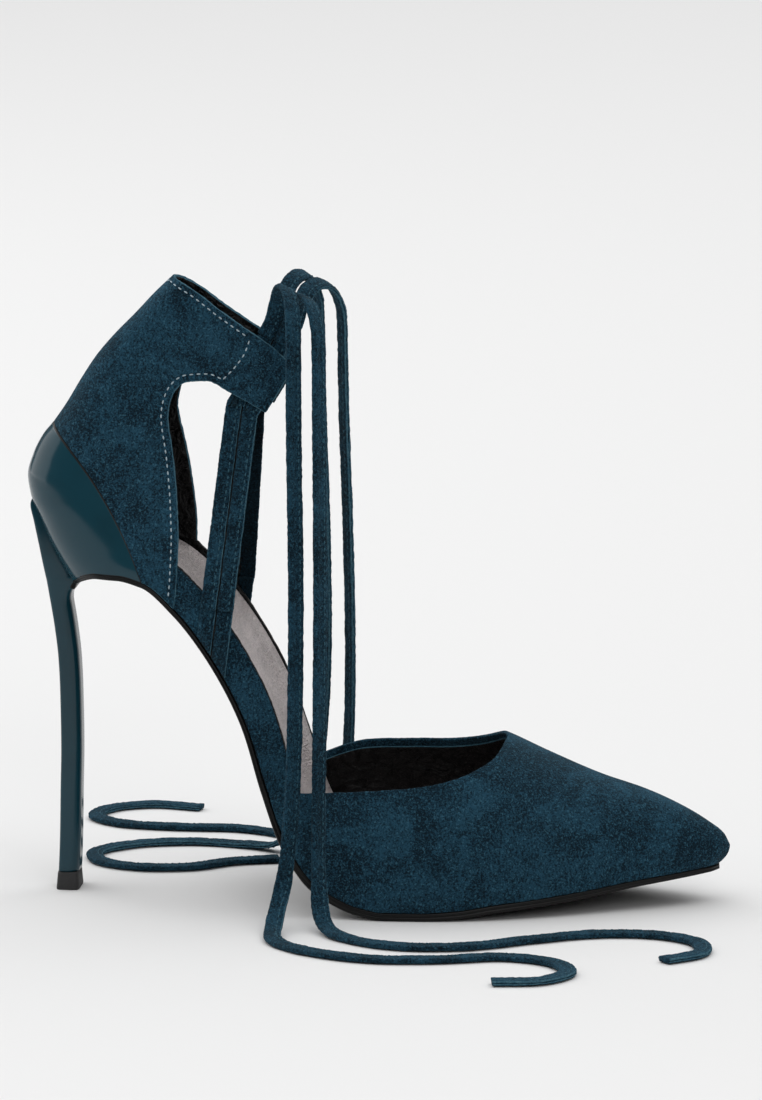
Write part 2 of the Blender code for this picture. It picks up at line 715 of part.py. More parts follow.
def tunnel_block(name, side, half_width, depths, overruns):
    """A block in the tab along the tunnel, between two depths under the tab's outer surface."""
    low, high, along, across = tunnel_frame()
    start, end = low - along * overruns[0], high + along * overruns[1]
    shallow, deep = depths
    rings = []
    for share in np.linspace(0, 1, TUNNEL_STATIONS):
        centre = start + (end - start) * share
        ring = []
        for k, depth in ((-1, shallow), (0, shallow), (1, shallow), (1, deep), (0, deep), (-1, deep)):
            x, z = centre + across * half_width * k
            ring.append((x, side * (back_half(x, z) - depth), z))
        rings.append(ring)
    return loft(name, rings, "upper")


def make_upper():
    """Quarter, vamp, waist bands and the tabs' tunnels as one hollow solid."""
    upper = make_quarter()
    boolean(upper, make_vamp(), "UNION")
    boolean(upper, make_band(), "UNION")
    slot = STRIP_THICKNESS + 2 * TUNNEL_CLEARANCE
    pair_half = STRIP_WIDTH + CLEARANCE / 2
    for side, word in ((-1, "outer"), (1, "inner")):
        inner_face = TUNNEL_OUTER_WALL + slot + TUNNEL_INNER_WALL
        block = tunnel_block("tunnel_block_" + word, side, pair_half + TUNNEL_SIDE_WALL,
                             (UPPER_WALL / 2, inner_face), TUNNEL_BLOCK_OVERRUNS)
        boolean(upper, block, "UNION")
    for side, word in ((-1, "outer"), (1, "inner")):
        hole = tunnel_block("tunnel_slot_" + word, side, pair_half + TUNNEL_CLEARANCE,
                            (TUNNEL_OUTER_WALL, TUNNEL_OUTER_WALL + slot), TUNNEL_SLOT_OVERRUNS)
        boolean(upper, hole, "DIFFERENCE")
    return upper


# Sole pieces

def make_outsole():
    """Outsole, from its thin waist to the forepart, flat on the floor under the ball."""
    rings = []
    for q in np.linspace(0, len(SOLE) - 1, OUTSOLE_STATIONS):
        line, normal, deep = sole_line(q), sole_normal(q), layer(q)
        outer, inner = sole_sides(q)
        ring = []
        for y, depth in ((outer, 0.0), (inner, 0.0), (inner, deep), (outer, deep)):
            x, z = line + normal * depth
            ring.append((x, y, max(z, 0.0)))
        rings.append(ring)
    return loft("outsole", rings, "outsole")


def bed_normal(q):
    """The sole's normal, held upright at the back end, where the sole curls down to the heel."""
    normal = sole_normal(q)
    lean = max(normal[0], -BED_LEAN)
    return np.array([lean, math.sqrt(1 - lean ** 2)])


def footbed_sides(q):
    """The y of the footbed's edges, inside the wall that stands round it."""
    outer, inner = sole_sides(q)
    share = float(sole_column("x", q))
    step_in = spline((0.0, *INSET_CHANGE, 1.0), (FOOTBED_INSET_SEAT,) * 2 + (FOOTBED_INSET,) * 2, share)
    if share < SEAT_END:
        x, z = feather(q)
        half = max(back_half(x - step_in, z) - step_in, BED_END_HALF)
        return -half, half
    return outer + step_in, inner - step_in


def bed_stations():
    """Stations of the footbed, closer together round the heel."""
    start, end = station_of(BED_SPAN[0]), station_of(BED_SPAN[1])
    return start + (end - start) * np.linspace(0, 1, BED_STATIONS) ** BED_GATHER


def bed_ring(q, low, high):
    """A ring round the footbed or the sock: low and high are heights over the feather at the edges."""
    line, normal = feather(q), bed_normal(q)
    outer, inner = footbed_sides(q)
    edge = float(sole_column("board", q)) * BAND_HEIGHT
    top, bottom = [], []
    for share in np.linspace(0, 1, BED_ACROSS):
        y = outer + (inner - outer) * share
        dip = edge * DISH_SHARE * (1 - (2 * share - 1) ** 2)
        for rows, height, dish in ((bottom, low, dip if low else 0.0), (top, high, dip)):
            x, z = line + normal * (height - dish)
            rows.append((x, y, z))
    return top + bottom[::-1]


def make_footbed():
    """Insole board and filler, flat below and dished above."""
    rings = []
    for q in bed_stations():
        rings.append(bed_ring(q, 0.0, float(sole_column("board", q)) * BAND_HEIGHT))
    return loft("footbed", rings, "footbed")


def make_sock():
    """Leather sock that follows the footbed's dish."""
    rings = []
    for q in bed_stations():
        edge = float(sole_column("board", q)) * BAND_HEIGHT + CLEARANCE
        rings.append(bed_ring(q, edge, edge + SOCK_THICKNESS))
    return loft("sock", rings, "sock")


# Heel

def rounded(x_back, x_front, half_width, z):
    """A ring with rounded corners at a height."""
    ring = []
    for k in range(BLADE_CORNERS):
        angle = 2 * math.pi * (k + 0.5) / BLADE_CORNERS
        c, s = math.cos(angle), math.sin(angle)
        reach = (abs(c) ** CORNER_SQUARENESS + abs(s) ** CORNER_SQUARENESS) ** (-1 / CORNER_SQUARENESS)
        x = (x_back + x_front) / 2 + (x_front - x_back) / 2 * reach * c
        ring.append((x, half_width * reach * s, z))
    return ring


def blade_at(z):
    """Back, front and half width of the blade at a height under its neck."""
    heights = column(BLADE, BLADE_COLUMNS, "z") * SEAT_HEIGHT
    back = x_at(spline(heights, column(BLADE, BLADE_COLUMNS, "back"), z))
    half = spline(heights, column(BLADE, BLADE_COLUMNS, "width"), z) * BLADE_WIDTH / 2
    return float(back), float(back) + BLADE_DEPTH, float(half)


def cup_fall(y, z):
    """How far the cup's surface lies ahead of its back line, away from the middle."""
    half = float(back_half(LENGTH, z))
    return BACK_FULLNESS * half * (1 - math.sqrt(1 - min(abs(y) / half, 1.0) ** 2))


def make_heel():
    """Cup round the seat, the thin blade under it and the fin up its back, as one moulding."""
    folds = list(np.linspace(0, CUP_FOLD - FOLD_STEP, CUP_ROWS))
    points, faces = back_sheet(folds, [0.0] * len(folds), QUARTER_ACROSS)
    cup = wall(clean(mesh_object("heel", inset_points(points, faces), faces, "heel"), outward=False), CUP_WALL)
    rings = []
    for z in np.linspace(TIP_HEIGHT + CLEARANCE, BLADE[-1][0] * SEAT_HEIGHT, BLADE_STATIONS):
        back, front, half = blade_at(z)
        rings.append(rounded(back, front, half, z))
    for rise, back, width in FIN:
        z = z_at(rise)
        start, end = float(x_at(back)), float(back_line(z)) + CUP_WALL * FIN_BITE
        ring = rounded(start, end, width * BLADE_WIDTH / 2, z)
        rings.append([(x + cup_fall(y, z) * (x - start) / (end - start), y, z) for x, y, z in ring])
    boolean(cup, loft("blade", rings, "heel"), "UNION")
    return cup


def make_tip():
    """Wearing piece under the blade, with a small flare."""
    back, front, half = blade_at(0.0)
    rings = []
    for z, flare in ((0.0, TIP_FLARE), (TIP_HEIGHT, 0.0)):
        rings.append(rounded(back - flare, front + flare, half + flare, z))
    return loft("heel_tip", rings, "heel_tip")


# Ties

def flat_ring(centre, across, normal, half_width, half_thickness, grooved):
    """A flat strip's ring, with a groove down its middle where it stands for two strips."""
    centre, across, normal = np.array(centre), np.array(across), np.array(normal)
    middle = GROOVE_SHARE if grooved else 1.0
    upper_half = ((-1, STRIP_EDGE), (-STRIP_FLAT, 1), (0, middle), (STRIP_FLAT, 1), (1, STRIP_EDGE))
    outline = upper_half + tuple((-a, -b) for a, b in upper_half)
    return [tuple(centre + across * half_width * a + normal * half_thickness * b) for a, b in outline]


def smooth_path(points, count):
    """Evenly spaced points on a smooth curve through the given ones."""
    points = np.array(points, float)
    padded = np.vstack([2 * points[0] - points[1], points, 2 * points[-1] - points[-2]])
    fine = []
    for i in range(len(points) - 1):
        a, b, c, d = padded[i:i + 4]
        for t in np.linspace(0, 1, 24, endpoint=False):
            fine.append(0.5 * (2 * b + (c - a) * t + (2 * a - 5 * b + 4 * c - d) * t * t
                               + (3 * b - a - 3 * c + d) * t ** 3))
    fine.append(points[-1])
    fine = np.array(fine)
    runs = np.append(0.0, np.cumsum(np.linalg.norm(np.diff(fine, axis=0), axis=1)))
    even = np.linspace(0, runs[-1], count)
    return np.stack([np.interp(even, runs, fine[:, k]) for k in range(3)], axis=1)


def tangents_of(path):
    """The direction of a path at each of its points."""
    along = np.gradient(path, axis=0)
    return along / np.linalg.norm(along, axis=1)[:, None]


def make_bar(name, side):
    """Two strips as one solid, from the sole's waist up through the tab's tunnel."""
    low, high, along, across = tunnel_frame()
    q = station_of(TIE_FOOT_X)
    normal = sole_normal(q)
    foot = feather(q) + normal * CLEARANCE
    lift = (low - foot) / np.linalg.norm(low - foot)
    edge = abs(sole_sides(q)[0 if side < 0 else 1])
    y_foot = side * (edge - BAND_STEP + CLEARANCE + STRIP_THICKNESS / 2)
    depth = TUNNEL_OUTER_WALL + TUNNEL_CLEARANCE + STRIP_THICKNESS / 2
    route = [(x, y_foot, z) for x, z in (foot + lift * rise * BAND_HEIGHT for rise in BAR_CLIMBS)]
    places = [low - along * run for run in BAR_APPROACH]
    places += [low, (low + high) / 2, high, high + along * TIE_END_RUN]
    route += [(x, side * (back_half(x, z) - depth), z) for x, z in places]
    half_width = STRIP_WIDTH + CLEARANCE / 2
    sole_run = np.array([normal[1], -normal[0]])
    slant = 1 / abs(sole_run[0] * lift[1] - sole_run[1] * lift[0])
    cut = np.array([sole_run[0], 0.0, sole_run[1]]) * slant
    start = (foot[0], y_foot, foot[1])
    rings = [flat_ring(start, cut, (0.0, 1.0 * side, 0.0), half_width, STRIP_THICKNESS / 2, True)]
    path = smooth_path(route, BAR_POINTS)
    for place, tangent in zip(path, tangents_of(path)):
        share = float(np.clip((place[2] - low[1] + BAR_TURN) / BAR_TURN, 0, 1))
        ahead, behind = place[[0, 2]] + across * half_width, place[[0, 2]] - across * half_width
        turn = side * (back_half(*ahead) - back_half(*behind)) / (2 * half_width)
        wanted = np.array([1.0, 0.0, 0.0]) * (1 - share) + np.array([across[0], turn, across[1]]) * share
        flat = wanted - tangent * (wanted @ tangent)
        flat /= np.linalg.norm(flat)
        outward = np.cross(tangent, flat)
        outward *= 1 if outward[1] * side > 0 else -1
        rings.append(flat_ring(place, flat, outward, half_width, STRIP_THICKNESS / 2, True))
    return loft(name, rings, name)


def make_tie_end(name, route):
    """A free strip that leaves its tunnel, hangs beside the shoe and ends on the floor."""
    path = smooth_path(route, TIE_POINTS)
    across = tunnel_frame()[3]
    flat = np.array([across[0], 0.0, across[1]])
    rings = []
    for place, tangent in zip(path, tangents_of(path)):
        flat = flat - tangent * (flat @ tangent)
        flat /= np.linalg.norm(flat)
        level = np.cross((0.0, 0.0, 1.0), tangent)
        lying = float(np.clip((LYING_FROM - place[2]) / (LYING_FROM - LYING_AT), 0, 1)) ** 2
        if lying > 0:
            level *= 1 if level @ flat > 0 else -1
            flat = flat * (1 - lying) + level * lying
            flat = flat - tangent * (flat @ tangent)
            flat /= np.linalg.norm(flat)
        outward = np.cross(tangent, flat)
        rings.append(flat_ring(place, flat, outward, STRIP_WIDTH / 2, STRIP_THICKNESS / 2, False))
    return loft(name, rings, name)


def main():
    for thing in list(bpy.data.objects):
        bpy.data.objects.remove(thing, do_unlink=True)
    for node, finish in NODE_FINISHES.items():
        colour, roughness, metallic = FINISHES[finish]
        material = bpy.data.materials.new(node)
        material.use_nodes = True
        shader = material.node_tree.nodes["Principled BSDF"]
        shader.inputs["Base Color"].default_value = (*colour, 1.0)
        shader.inputs["Roughness"].default_value = roughness
        shader.inputs["Metallic"].default_value = metallic
    make_outsole()
    make_footbed()
    make_sock()
    make_upper()
    make_heel()
    make_tip()
    make_bar("tie_bar_outer", -1)
    make_bar("tie_bar_inner", 1)
    for name, route in TIE_ROUTES.items():
        make_tie_end(name, route)


if __name__ == "__main__":
    main()
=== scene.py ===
"""Looks of a high heeled shoe with ankle ties: suede, patent heel, lining, sock, stitches, ties and stage."""

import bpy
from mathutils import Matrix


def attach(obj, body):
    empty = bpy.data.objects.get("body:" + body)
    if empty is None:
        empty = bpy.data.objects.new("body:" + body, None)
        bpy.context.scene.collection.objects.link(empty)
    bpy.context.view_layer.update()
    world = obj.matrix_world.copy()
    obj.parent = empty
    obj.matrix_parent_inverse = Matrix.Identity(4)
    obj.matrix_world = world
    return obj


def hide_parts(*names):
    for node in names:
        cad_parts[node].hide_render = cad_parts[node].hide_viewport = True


bl_info = {
    "name": "High heeled shoe with ankle ties",
    "version": (1, 0, 0),
    "blender": (4, 5, 0),
    "location": "View3D > Sidebar > Shoe",
    "description": "Dresses the packed shoe: suede, patent heel, lining, sock, stitches, ties and stage",
    "category": "Object",
}

import itertools
import math

import bpy
import numpy as np
from mathutils import Vector

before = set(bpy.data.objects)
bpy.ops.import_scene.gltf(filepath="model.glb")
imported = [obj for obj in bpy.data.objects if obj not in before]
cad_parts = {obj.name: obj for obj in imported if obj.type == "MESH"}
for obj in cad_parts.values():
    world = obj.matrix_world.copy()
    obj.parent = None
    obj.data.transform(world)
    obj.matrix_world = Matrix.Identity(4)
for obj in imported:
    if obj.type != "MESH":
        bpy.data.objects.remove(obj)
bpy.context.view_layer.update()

# The last and its layers, in metres
LENGTH = 0.2158
BALL_WIDTH = 0.076
SEAT_WIDTH = 0.048
SEAT_HEIGHT = 0.1002
BACK_RISE = 0.0910
VAMP_RISE = 0.0510
UPPER_WALL = 0.0018
BAND_HEIGHT = 0.0100
BAND_WALL = 0.0015
BAND_STEP = 0.0005
OUTSOLE_FOREPART = 0.0026
OUTSOLE_WAIST = 0.0016
SOCK_THICKNESS = 0.0012
CLEARANCE = 0.0003
BED_CLEARANCE = 0.0004
CUP_WALL = 0.0020
BLADE_DEPTH = 0.0064
BLADE_WIDTH = 0.0110
TIP_HEIGHT = 0.0055
TIP_FLARE = 0.0004
BLADE_SQUARENESS = 7.0
BLADE_TAPER = 0.34
NECK_HEIGHT = 0.0075
NECK_REACH = 0.0052
NECK_CURVE = 2.4
RING_CORNERS = 64
STRIP_WIDTH = 0.0052
STRIP_THICKNESS = 0.0016
TUNNEL_OUTER_WALL = 0.0012
TUNNEL_INNER_WALL = 0.0012
TUNNEL_SIDE_WALL = 0.0016
TUNNEL_CLEARANCE = 0.0004

# Sole: x a share of LENGTH, z of SEAT_HEIGHT, outer and inner of the half width, seat blends the two widths
SOLE_COLUMNS = ("x", "z", "outer", "inner", "seat", "layer", "board")
SOLE = (
    (0.0680, 0.940, 1.000, 1.000, 1.00, 0.0, 0.60),
    (0.0720, 0.957, 1.000, 1.000, 1.00, 0.0, 0.60),
    (0.0870, 0.983, 1.000, 1.000, 1.00, 0.0, 0.60),
    (0.1110, 0.999, 1.000, 1.000, 1.00, 0.0, 0.60),
    (0.1400, 0.999, 1.000, 1.000, 1.00, 0.0, 0.62),
    (0.1750, 0.981, 1.000, 1.000, 1.00, 0.0, 0.66),
    (0.2215, 0.893, 1.000, 1.000, 1.00, 0.0, 0.74),
    (0.2750, 0.737, 0.957, 0.957, 0.90, 0.0, 0.80),
    (0.3180, 0.557, 0.915, 0.904, 0.70, 0.0, 0.80),
    (0.3470, 0.365, 0.932, 0.906, 0.50, 0.3, 0.76),
    (0.3790, 0.198, 0.957, 0.928, 0.25, 0.6, 0.62),
    (0.4250, 0.076, 0.955, 0.940, 0.00, 0.9, 0.50),
    (0.4850, 0.014, 0.990, 0.990, 0.00, 1.0, 0.42),
    (0.5250, 0.000, 1.000, 1.000, 0.00, 1.0, 0.38),
    (0.5750, 0.000, 0.990, 1.000, 0.00, 1.0, 0.36),
    (0.6250, 0.006, 0.960, 0.980, 0.00, 1.0, 0.34),
    (0.6800, 0.022, 0.890, 0.920, 0.00, 1.0, 0.32),
    (0.7450, 0.036, 0.760, 0.810, 0.00, 0.9, 0.30),
    (0.8100, 0.053, 0.590, 0.660, 0.00, 0.7, 0.28),
    (0.8700, 0.072, 0.420, 0.500, 0.00, 0.5, 0.26),
    (0.9200, 0.084, 0.270, 0.360, 0.00, 0.3, 0.24),
    (0.9550, 0.092, 0.150, 0.250, 0.00, 0.2, 0.22),
    (0.9760, 0.096, 0.050, 0.160, 0.00, 0.1, 0.20),
    (0.9850, 0.098, -0.035, 0.080, 0.00, 0.0, 0.20),
)
SEAT_END = 0.190
LAST_STATION = len(SOLE) - 1

# Forepart sections: foot on the sole and the ridge on top, as shares of LENGTH and VAMP_RISE
FORE_COLUMNS = ("foot", "ridge_x", "ridge_z")
FORE = (
    (0.1850, 0.330, 2.70),
    (0.2215, 0.380, 2.50),
    (0.2750, 0.440, 2.10),
    (0.3180, 0.485, 1.72),
    (0.3470, 0.512, 1.42),
    (0.3790, 0.530, 1.24),
    (0.4250, 0.545, 1.18),
    (0.4850, 0.565, 1.150),
    (0.5400, 0.595, 1.110),
    (0.6100, 0.635, 1.060),
    (0.6750, 0.6790, 1.000),
    (0.7400, 0.7400, 0.885),
    (0.8100, 0.8150, 0.755),
    (0.8700, 0.8800, 0.668),
    (0.9200, 0.9330, 0.570),
    (0.9550, 0.9700, 0.478),
    (0.9760, 0.9910, 0.408),
    (0.9850, 0.9990, 0.345),
)
FORE_ROUNDNESS = 2.15
TOE_BULGE = 0.0010
TOE_BULGE_SPAN = (0.920, 0.985)
TOPLINES = {
    -1: (
        (0.340, 0.722),
        (0.390, 0.727),
        (0.446, 0.740),
        (0.500, 0.753),
        (0.550, 0.768),
        (0.595, 0.793),
        (0.629, 0.829),
        (0.657, 0.879),
        (0.672, 0.916),
        (0.680, 0.953),
        (0.686, 1.000),
    ),
    1: (
        (0.340, 0.722),
        (0.380, 0.728),
        (0.407, 0.746),
        (0.428, 0.782),
        (0.467, 0.832),
        (0.509, 0.845),
        (0.546, 0.852),
        (0.583, 0.860),
        (0.607, 0.871),
        (0.631, 0.892),
        (0.648, 0.915),
        (0.662, 0.943),
        (0.675, 0.975),
        (0.686, 1.000),
    ),
}
THROAT_FOOT = 0.6825
VAMP_START_SEARCH = (0.33, 0.40)
VAMP_CORNER = 0.0020
BAND_SPAN = (0.186, 0.372)
SEARCH_STEPS = 400
HALVINGS = 40
VAMP_GATHER = 1.5
OPEN_STATIONS, CLOSED_STATIONS = 90, 100
VAMP_ROWS, VAMP_LINING_ROWS = 60, 44
VAMP_LINING_GAP = 0.00005
BAND_STATIONS, BAND_ROWS = 70, 10

# Back of the shoe: rise a share of BACK_RISE over the seat, back of LENGTH, half of the seat's half width
BACK_COLUMNS = ("rise", "back", "half")
BACK = (
    (-0.063, 0.068, 1.000),
    (0.020, 0.048, 1.000),
    (0.100, 0.0305, 0.945),
    (0.180, 0.0165, 0.880),
    (0.250, 0.0045, 0.800),
    (0.320, 0.0000, 0.720),
    (0.390, 0.0080, 0.640),
    (0.455, 0.0220, 0.570),
    (0.500, 0.0375, 0.525),
    (0.5615, 0.0555, 0.475),
    (0.650, 0.0780, 0.420),
    (0.725, 0.0990, 0.375),
    (0.795, 0.1240, 0.340),
    (0.870, 0.1550, 0.310),
    (0.940, 0.1826, 0.285),
    (1.000, 0.2090, 0.265),
)
BACK_FULLNESS = 1.20

# Quarter's folds, from the sole to the front corner and from there to the tab's end
SEAT_FOLD_COLUMNS = ("back", "foot", "bow")
SEAT_FOLDS = (
    (-0.035, 0.0735, 0.000),
    (0.020, 0.0930, 0.014),
    (0.140, 0.1260, 0.033),
    (0.250, 0.1480, 0.047),
    (0.330, 0.1600, 0.056),
    (0.412, 0.1670, 0.061),
    (0.500, 0.1725, 0.061),
    (0.5615, 0.1960, 0.052),
    (0.606, 0.2150, 0.042),
)
FRONT_FOLD_COLUMNS = ("back_x", "back", "x", "rise", "bow")
FRONT_FOLDS = (
    (0.0780, 0.650, 0.2252, 0.012, 0.028),
    (0.0890, 0.689, 0.2266, 0.130, 0.019),
    (0.1035, 0.740, 0.2233, 0.262, 0.009),
    (0.1240, 0.795, 0.2160, 0.404, 0.005),
    (0.1550, 0.870, 0.2066, 0.541, 0.00),
    (0.2090, 1.000, 0.2145, 0.620, 0.00),
    (0.2428, 0.953, 0.2345, 0.656, 0.00),
    (0.2785, 0.890, 0.2620, 0.660, 0.00),
    (0.3207, 0.822, 0.2940, 0.624, 0.00),
    (0.3485, 0.779, 0.3195, 0.593, 0.00),
    (0.3830, 0.708, 0.3452, 0.559, 0.00),
)
CUP_FOLD = 6
FRONT_CORNER_FOLD = 8
TOP_CORNER_FOLD = 14
LAST_FOLD = 19
FOLD_STEP = 0.05
QUARTER_START_FOLD = 0.8
QUARTER_GATHER = 1.7
QUARTER_UNDER, QUARTER_SIDE, QUARTER_TOP = 20, 70, 44
QUARTER_ACROSS, QUARTER_LINING_ACROSS = 40, 30
TUNNEL_MOUTHS = ((0.3188, 0.5935), (0.3505, 0.774))
FLAP_ROWS = 24
FLAP_SHORTER = (0.0026, 0.0032)
FLAP_WALL = 0.8 * TUNNEL_INNER_WALL
TUNNEL_SEAM = ((0.3235, 0.8120), (0.3200, 0.7850), (0.3130, 0.7430), (0.2995, 0.7000), (0.2835, 0.6610))

# Heel: the blade's back line under the seat and the fin's up the cup
BLADE_COLUMNS = ("z", "back", "width")
BLADE = (
    (0.000, 0.0398, 1.00),
    (0.170, 0.0431, 0.98),
    (0.315, 0.0445, 0.96),
    (0.458, 0.0459, 0.96),
    (0.631, 0.0450, 0.97),
    (0.724, 0.0431, 0.98),
    (0.816, 0.0385, 1.00),
    (0.880, 0.0340, 1.00),
    (0.940, 0.0292, 1.00),
)
FIN_COLUMNS = ("rise", "back", "width")
FIN = (
    (-0.033, 0.0265, 0.99),
    (0.011, 0.0225, 0.98),
    (0.088, 0.0160, 0.92),
    (0.165, 0.0090, 0.80),
    (0.220, 0.0040, 0.62),
    (0.248, 0.0085, 0.45),
)
FIN_BITE = 0.60
FIN_START = 0.008
CUP_FOLDS, CUP_ACROSS = 70, 60
CUP_ROLL, CUP_BULGE = 5, 0.9
BLADE_RINGS, FIN_RINGS = 110, 30
TIP_RINGS = ((0.0, 0.55), (0.04, 0.92), (0.10, 1.0), (0.5, 0.5), (0.92, 0.05), (1.0, -0.3))

# Ties: foot of the bars, their climb and approach, and the free ends' listed points
TIE_FOOT_X = 0.266
BAR_CLIMBS = (0.95, 1.50, 2.10)
BAR_APPROACH = (0.0050, 0.0025)
TIE_END_RUN = 0.0015
ROUTE_POINTS, BAR_POINTS = 400, 110
BAR_TURN = 0.0250
LYING_FROM = 0.0200
LYING_AT = 0.0040
TIE_ROUTES = {
    "tie_end_outer_front": (
        (-0.0290, -0.0062, 0.1712), (-0.0266, -0.0065, 0.1756), (-0.0249, -0.0078, 0.1814),
        (-0.0233, -0.0120, 0.1855), (-0.0206, -0.0177, 0.1869), (-0.0178, -0.0233, 0.1849),
        (-0.0159, -0.0271, 0.1800), (-0.0152, -0.0288, 0.1735), (-0.0148, -0.0305, 0.1450),
        (-0.0142, -0.0340, 0.1050), (-0.0140, -0.0375, 0.0680), (-0.0140, -0.0405, 0.0380),
        (-0.0135, -0.0455, 0.0160), (-0.0110, -0.0545, 0.0035), (-0.0030, -0.0650, 0.0012),
        (0.0130, -0.0735, 0.0012), (0.0330, -0.0720, 0.0012), (0.0520, -0.0610, 0.0012),
        (0.0700, -0.0520, 0.0012), (0.0880, -0.0510, 0.0012), (0.1010, -0.0590, 0.0012),
        (0.1030, -0.0730, 0.0012), (0.0930, -0.0830, 0.0012),
    ),
    "tie_end_outer_back": (
        (-0.0341, -0.0058, 0.1734), (-0.0317, -0.0060, 0.1778), (-0.0300, -0.0076, 0.1837),
        (-0.0285, -0.0118, 0.1880), (-0.0262, -0.0174, 0.1895), (-0.0243, -0.0230, 0.1876),
        (-0.0232, -0.0270, 0.1828), (-0.0228, -0.0287, 0.1765), (-0.0225, -0.0305, 0.1450),
        (-0.0216, -0.0340, 0.1050), (-0.0214, -0.0378, 0.0680), (-0.0220, -0.0410, 0.0380),
        (-0.0235, -0.0470, 0.0160), (-0.0255, -0.0575, 0.0035), (-0.0235, -0.0710, 0.0012),
        (-0.0120, -0.0830, 0.0012), (0.0070, -0.0905, 0.0012), (0.0270, -0.0890, 0.0012),
        (0.0450, -0.0840, 0.0012), (0.0600, -0.0890, 0.0012), (0.0660, -0.1010, 0.0012),
        (0.0590, -0.1120, 0.0012), (0.0450, -0.1150, 0.0012),
    ),
    "tie_end_inner_front": (
        (-0.0290, 0.0062, 0.1712), (-0.0266, 0.0065, 0.1756), (-0.0248, 0.0079, 0.1814),
        (-0.0230, 0.0122, 0.1854), (-0.0202, 0.0180, 0.1867), (-0.0173, 0.0236, 0.1846),
        (-0.0153, 0.0273, 0.1797), (-0.0145, 0.0289, 0.1732), (-0.0141, 0.0305, 0.1450),
        (-0.0132, 0.0340, 0.1050), (-0.0130, 0.0378, 0.0680), (-0.0140, 0.0412, 0.0380),
        (-0.0170, 0.0485, 0.0160), (-0.0240, 0.0605, 0.0035), (-0.0355, 0.0735, 0.0012),
        (-0.0530, 0.0825, 0.0012), (-0.0740, 0.0830, 0.0012), (-0.0920, 0.0860, 0.0012),
        (-0.1020, 0.0960, 0.0012), (-0.0990, 0.1090, 0.0012), (-0.0860, 0.1160, 0.0012),
        (-0.0700, 0.1130, 0.0012),
    ),
    "tie_end_inner_back": (
        (-0.0341, 0.0058, 0.1734), (-0.0317, 0.0060, 0.1778), (-0.0299, 0.0077, 0.1837),
        (-0.0282, 0.0120, 0.1879), (-0.0257, 0.0177, 0.1893), (-0.0235, 0.0232, 0.1873),
        (-0.0223, 0.0271, 0.1825), (-0.0218, 0.0288, 0.1762), (-0.0214, 0.0305, 0.1450),
        (-0.0206, 0.0340, 0.1050), (-0.0208, 0.0376, 0.0680), (-0.0230, 0.0408, 0.0380),
        (-0.0280, 0.0460, 0.0160), (-0.0370, 0.0535, 0.0035), (-0.0490, 0.0595, 0.0012),
        (-0.0660, 0.0620, 0.0012), (-0.0830, 0.0570, 0.0012), (-0.0940, 0.0450, 0.0012),
        (-0.0910, 0.0310, 0.0012), (-0.0780, 0.0240, 0.0012), (-0.0620, 0.0260, 0.0012),
        (-0.0500, 0.0350, 0.0012), (-0.0360, 0.0400, 0.0012),
    ),
}

# Footbed and sock
BED_SPAN = (0.088, 0.950)
FOOTBED_INSET = BAND_STEP + BAND_WALL + BED_CLEARANCE
FOOTBED_INSET_SEAT = CUP_WALL + UPPER_WALL + 3 * CLEARANCE
INSET_CHANGE = (0.170, 0.235)
BED_END_HALF = 0.0020
DISH_SHARE = 0.25
BED_LEAN = 0.12
BED_RINGS, BED_GATHER = 150, 1.6
BOARD_ACROSS, SOCK_ACROSS = 25, 61
SOCK_ROUND = 0.0008
RIDGE_SHARE = 0.80
RIDGE_WIDTH = 0.055
RIDGE_HEIGHTS = (
    (0.00, 0.0), (0.25, 0.0), (0.30, 0.0010), (0.36, 0.0018), (0.42, 0.0013), (0.47, 0.0), (1.00, 0.0),
)
SOLE_RINGS = 260
SOLE_EDGE = (
    (0.00, -0.0009), (0.10, -0.0003), (0.28, 0.0000), (0.46, -0.0001), (0.52, -0.0004), (0.58, -0.0001),
    (0.80, 0.0000), (0.93, -0.0002), (1.00, -0.0006),
)

# The photograph's view: the point looked at, then azimuth, elevation, distance and lens
LOOK_AT = (0.0006, 0.0, 0.1073)
CAMERA_AZIMUTH = 6.0
CAMERA_ELEVATION = 10.0
CAMERA_DISTANCE = 2.0
CAMERA_LENS = 214.6
SENSOR = 36.0

# Stage: the floor's half side, the surroundings' strength, and each lamp's place, size and power
FLOOR_REACH = 9.0
WORLD_STRENGTH = 0.10
LAMPS = {
    "overhead": ((0.0, 1.0, 5.0), 12.0, 640.0),
    "left_softbox": ((-2.0, 0.5, 0.9), 2.3, 22.0),
    "front_softbox": ((0.9, -2.6, 1.5), 1.2, 14.0),
}
LAMPS_LOOK_AT = (0.0, 0.0, 0.08)

# Rims, strips and stitches
RIM_FUZZ = 0.00011
CURVE_STEPS = 24
STITCH_RINGS = 6
STITCH_SIDES = 6
STITCH_END_WIDTH = 0.55
STITCH_RISE, STITCH_SINK = 1.1, 0.75
SEAM_POINTS = 40
FRONT_STITCHES = (FRONT_CORNER_FOLD + 0.35, 17.2, 260)
TOP_STITCHES = (TOP_CORNER_FOLD, 17.6, 120)
TOP_INSET_SHARE = 0.85
SEAM_OVERLAP = 0.0004
STITCH_LEAD = (0.0002, 0.0006)
SURFACE_STEP = 0.0004
STRIP_OUTLINE = (
    (-1.00, 0.10), (-0.99, 0.50), (-0.92, 0.80), (-0.75, 0.97), (-0.45, 1.00), (-0.15, 0.94), (0.00, 0.88),
    (0.15, 0.94), (0.45, 1.00), (0.75, 0.98), (0.90, 0.86), (0.985, 0.62), (1.00, 0.16), (0.88, 0.04),
    (0.88, -0.04), (1.00, -0.16), (0.985, -0.62), (0.90, -0.86), (0.75, -0.98), (0.00, -1.00), (-0.75, -0.97),
    (-0.92, -0.80), (-0.99, -0.50), (-1.00, -0.10),
)
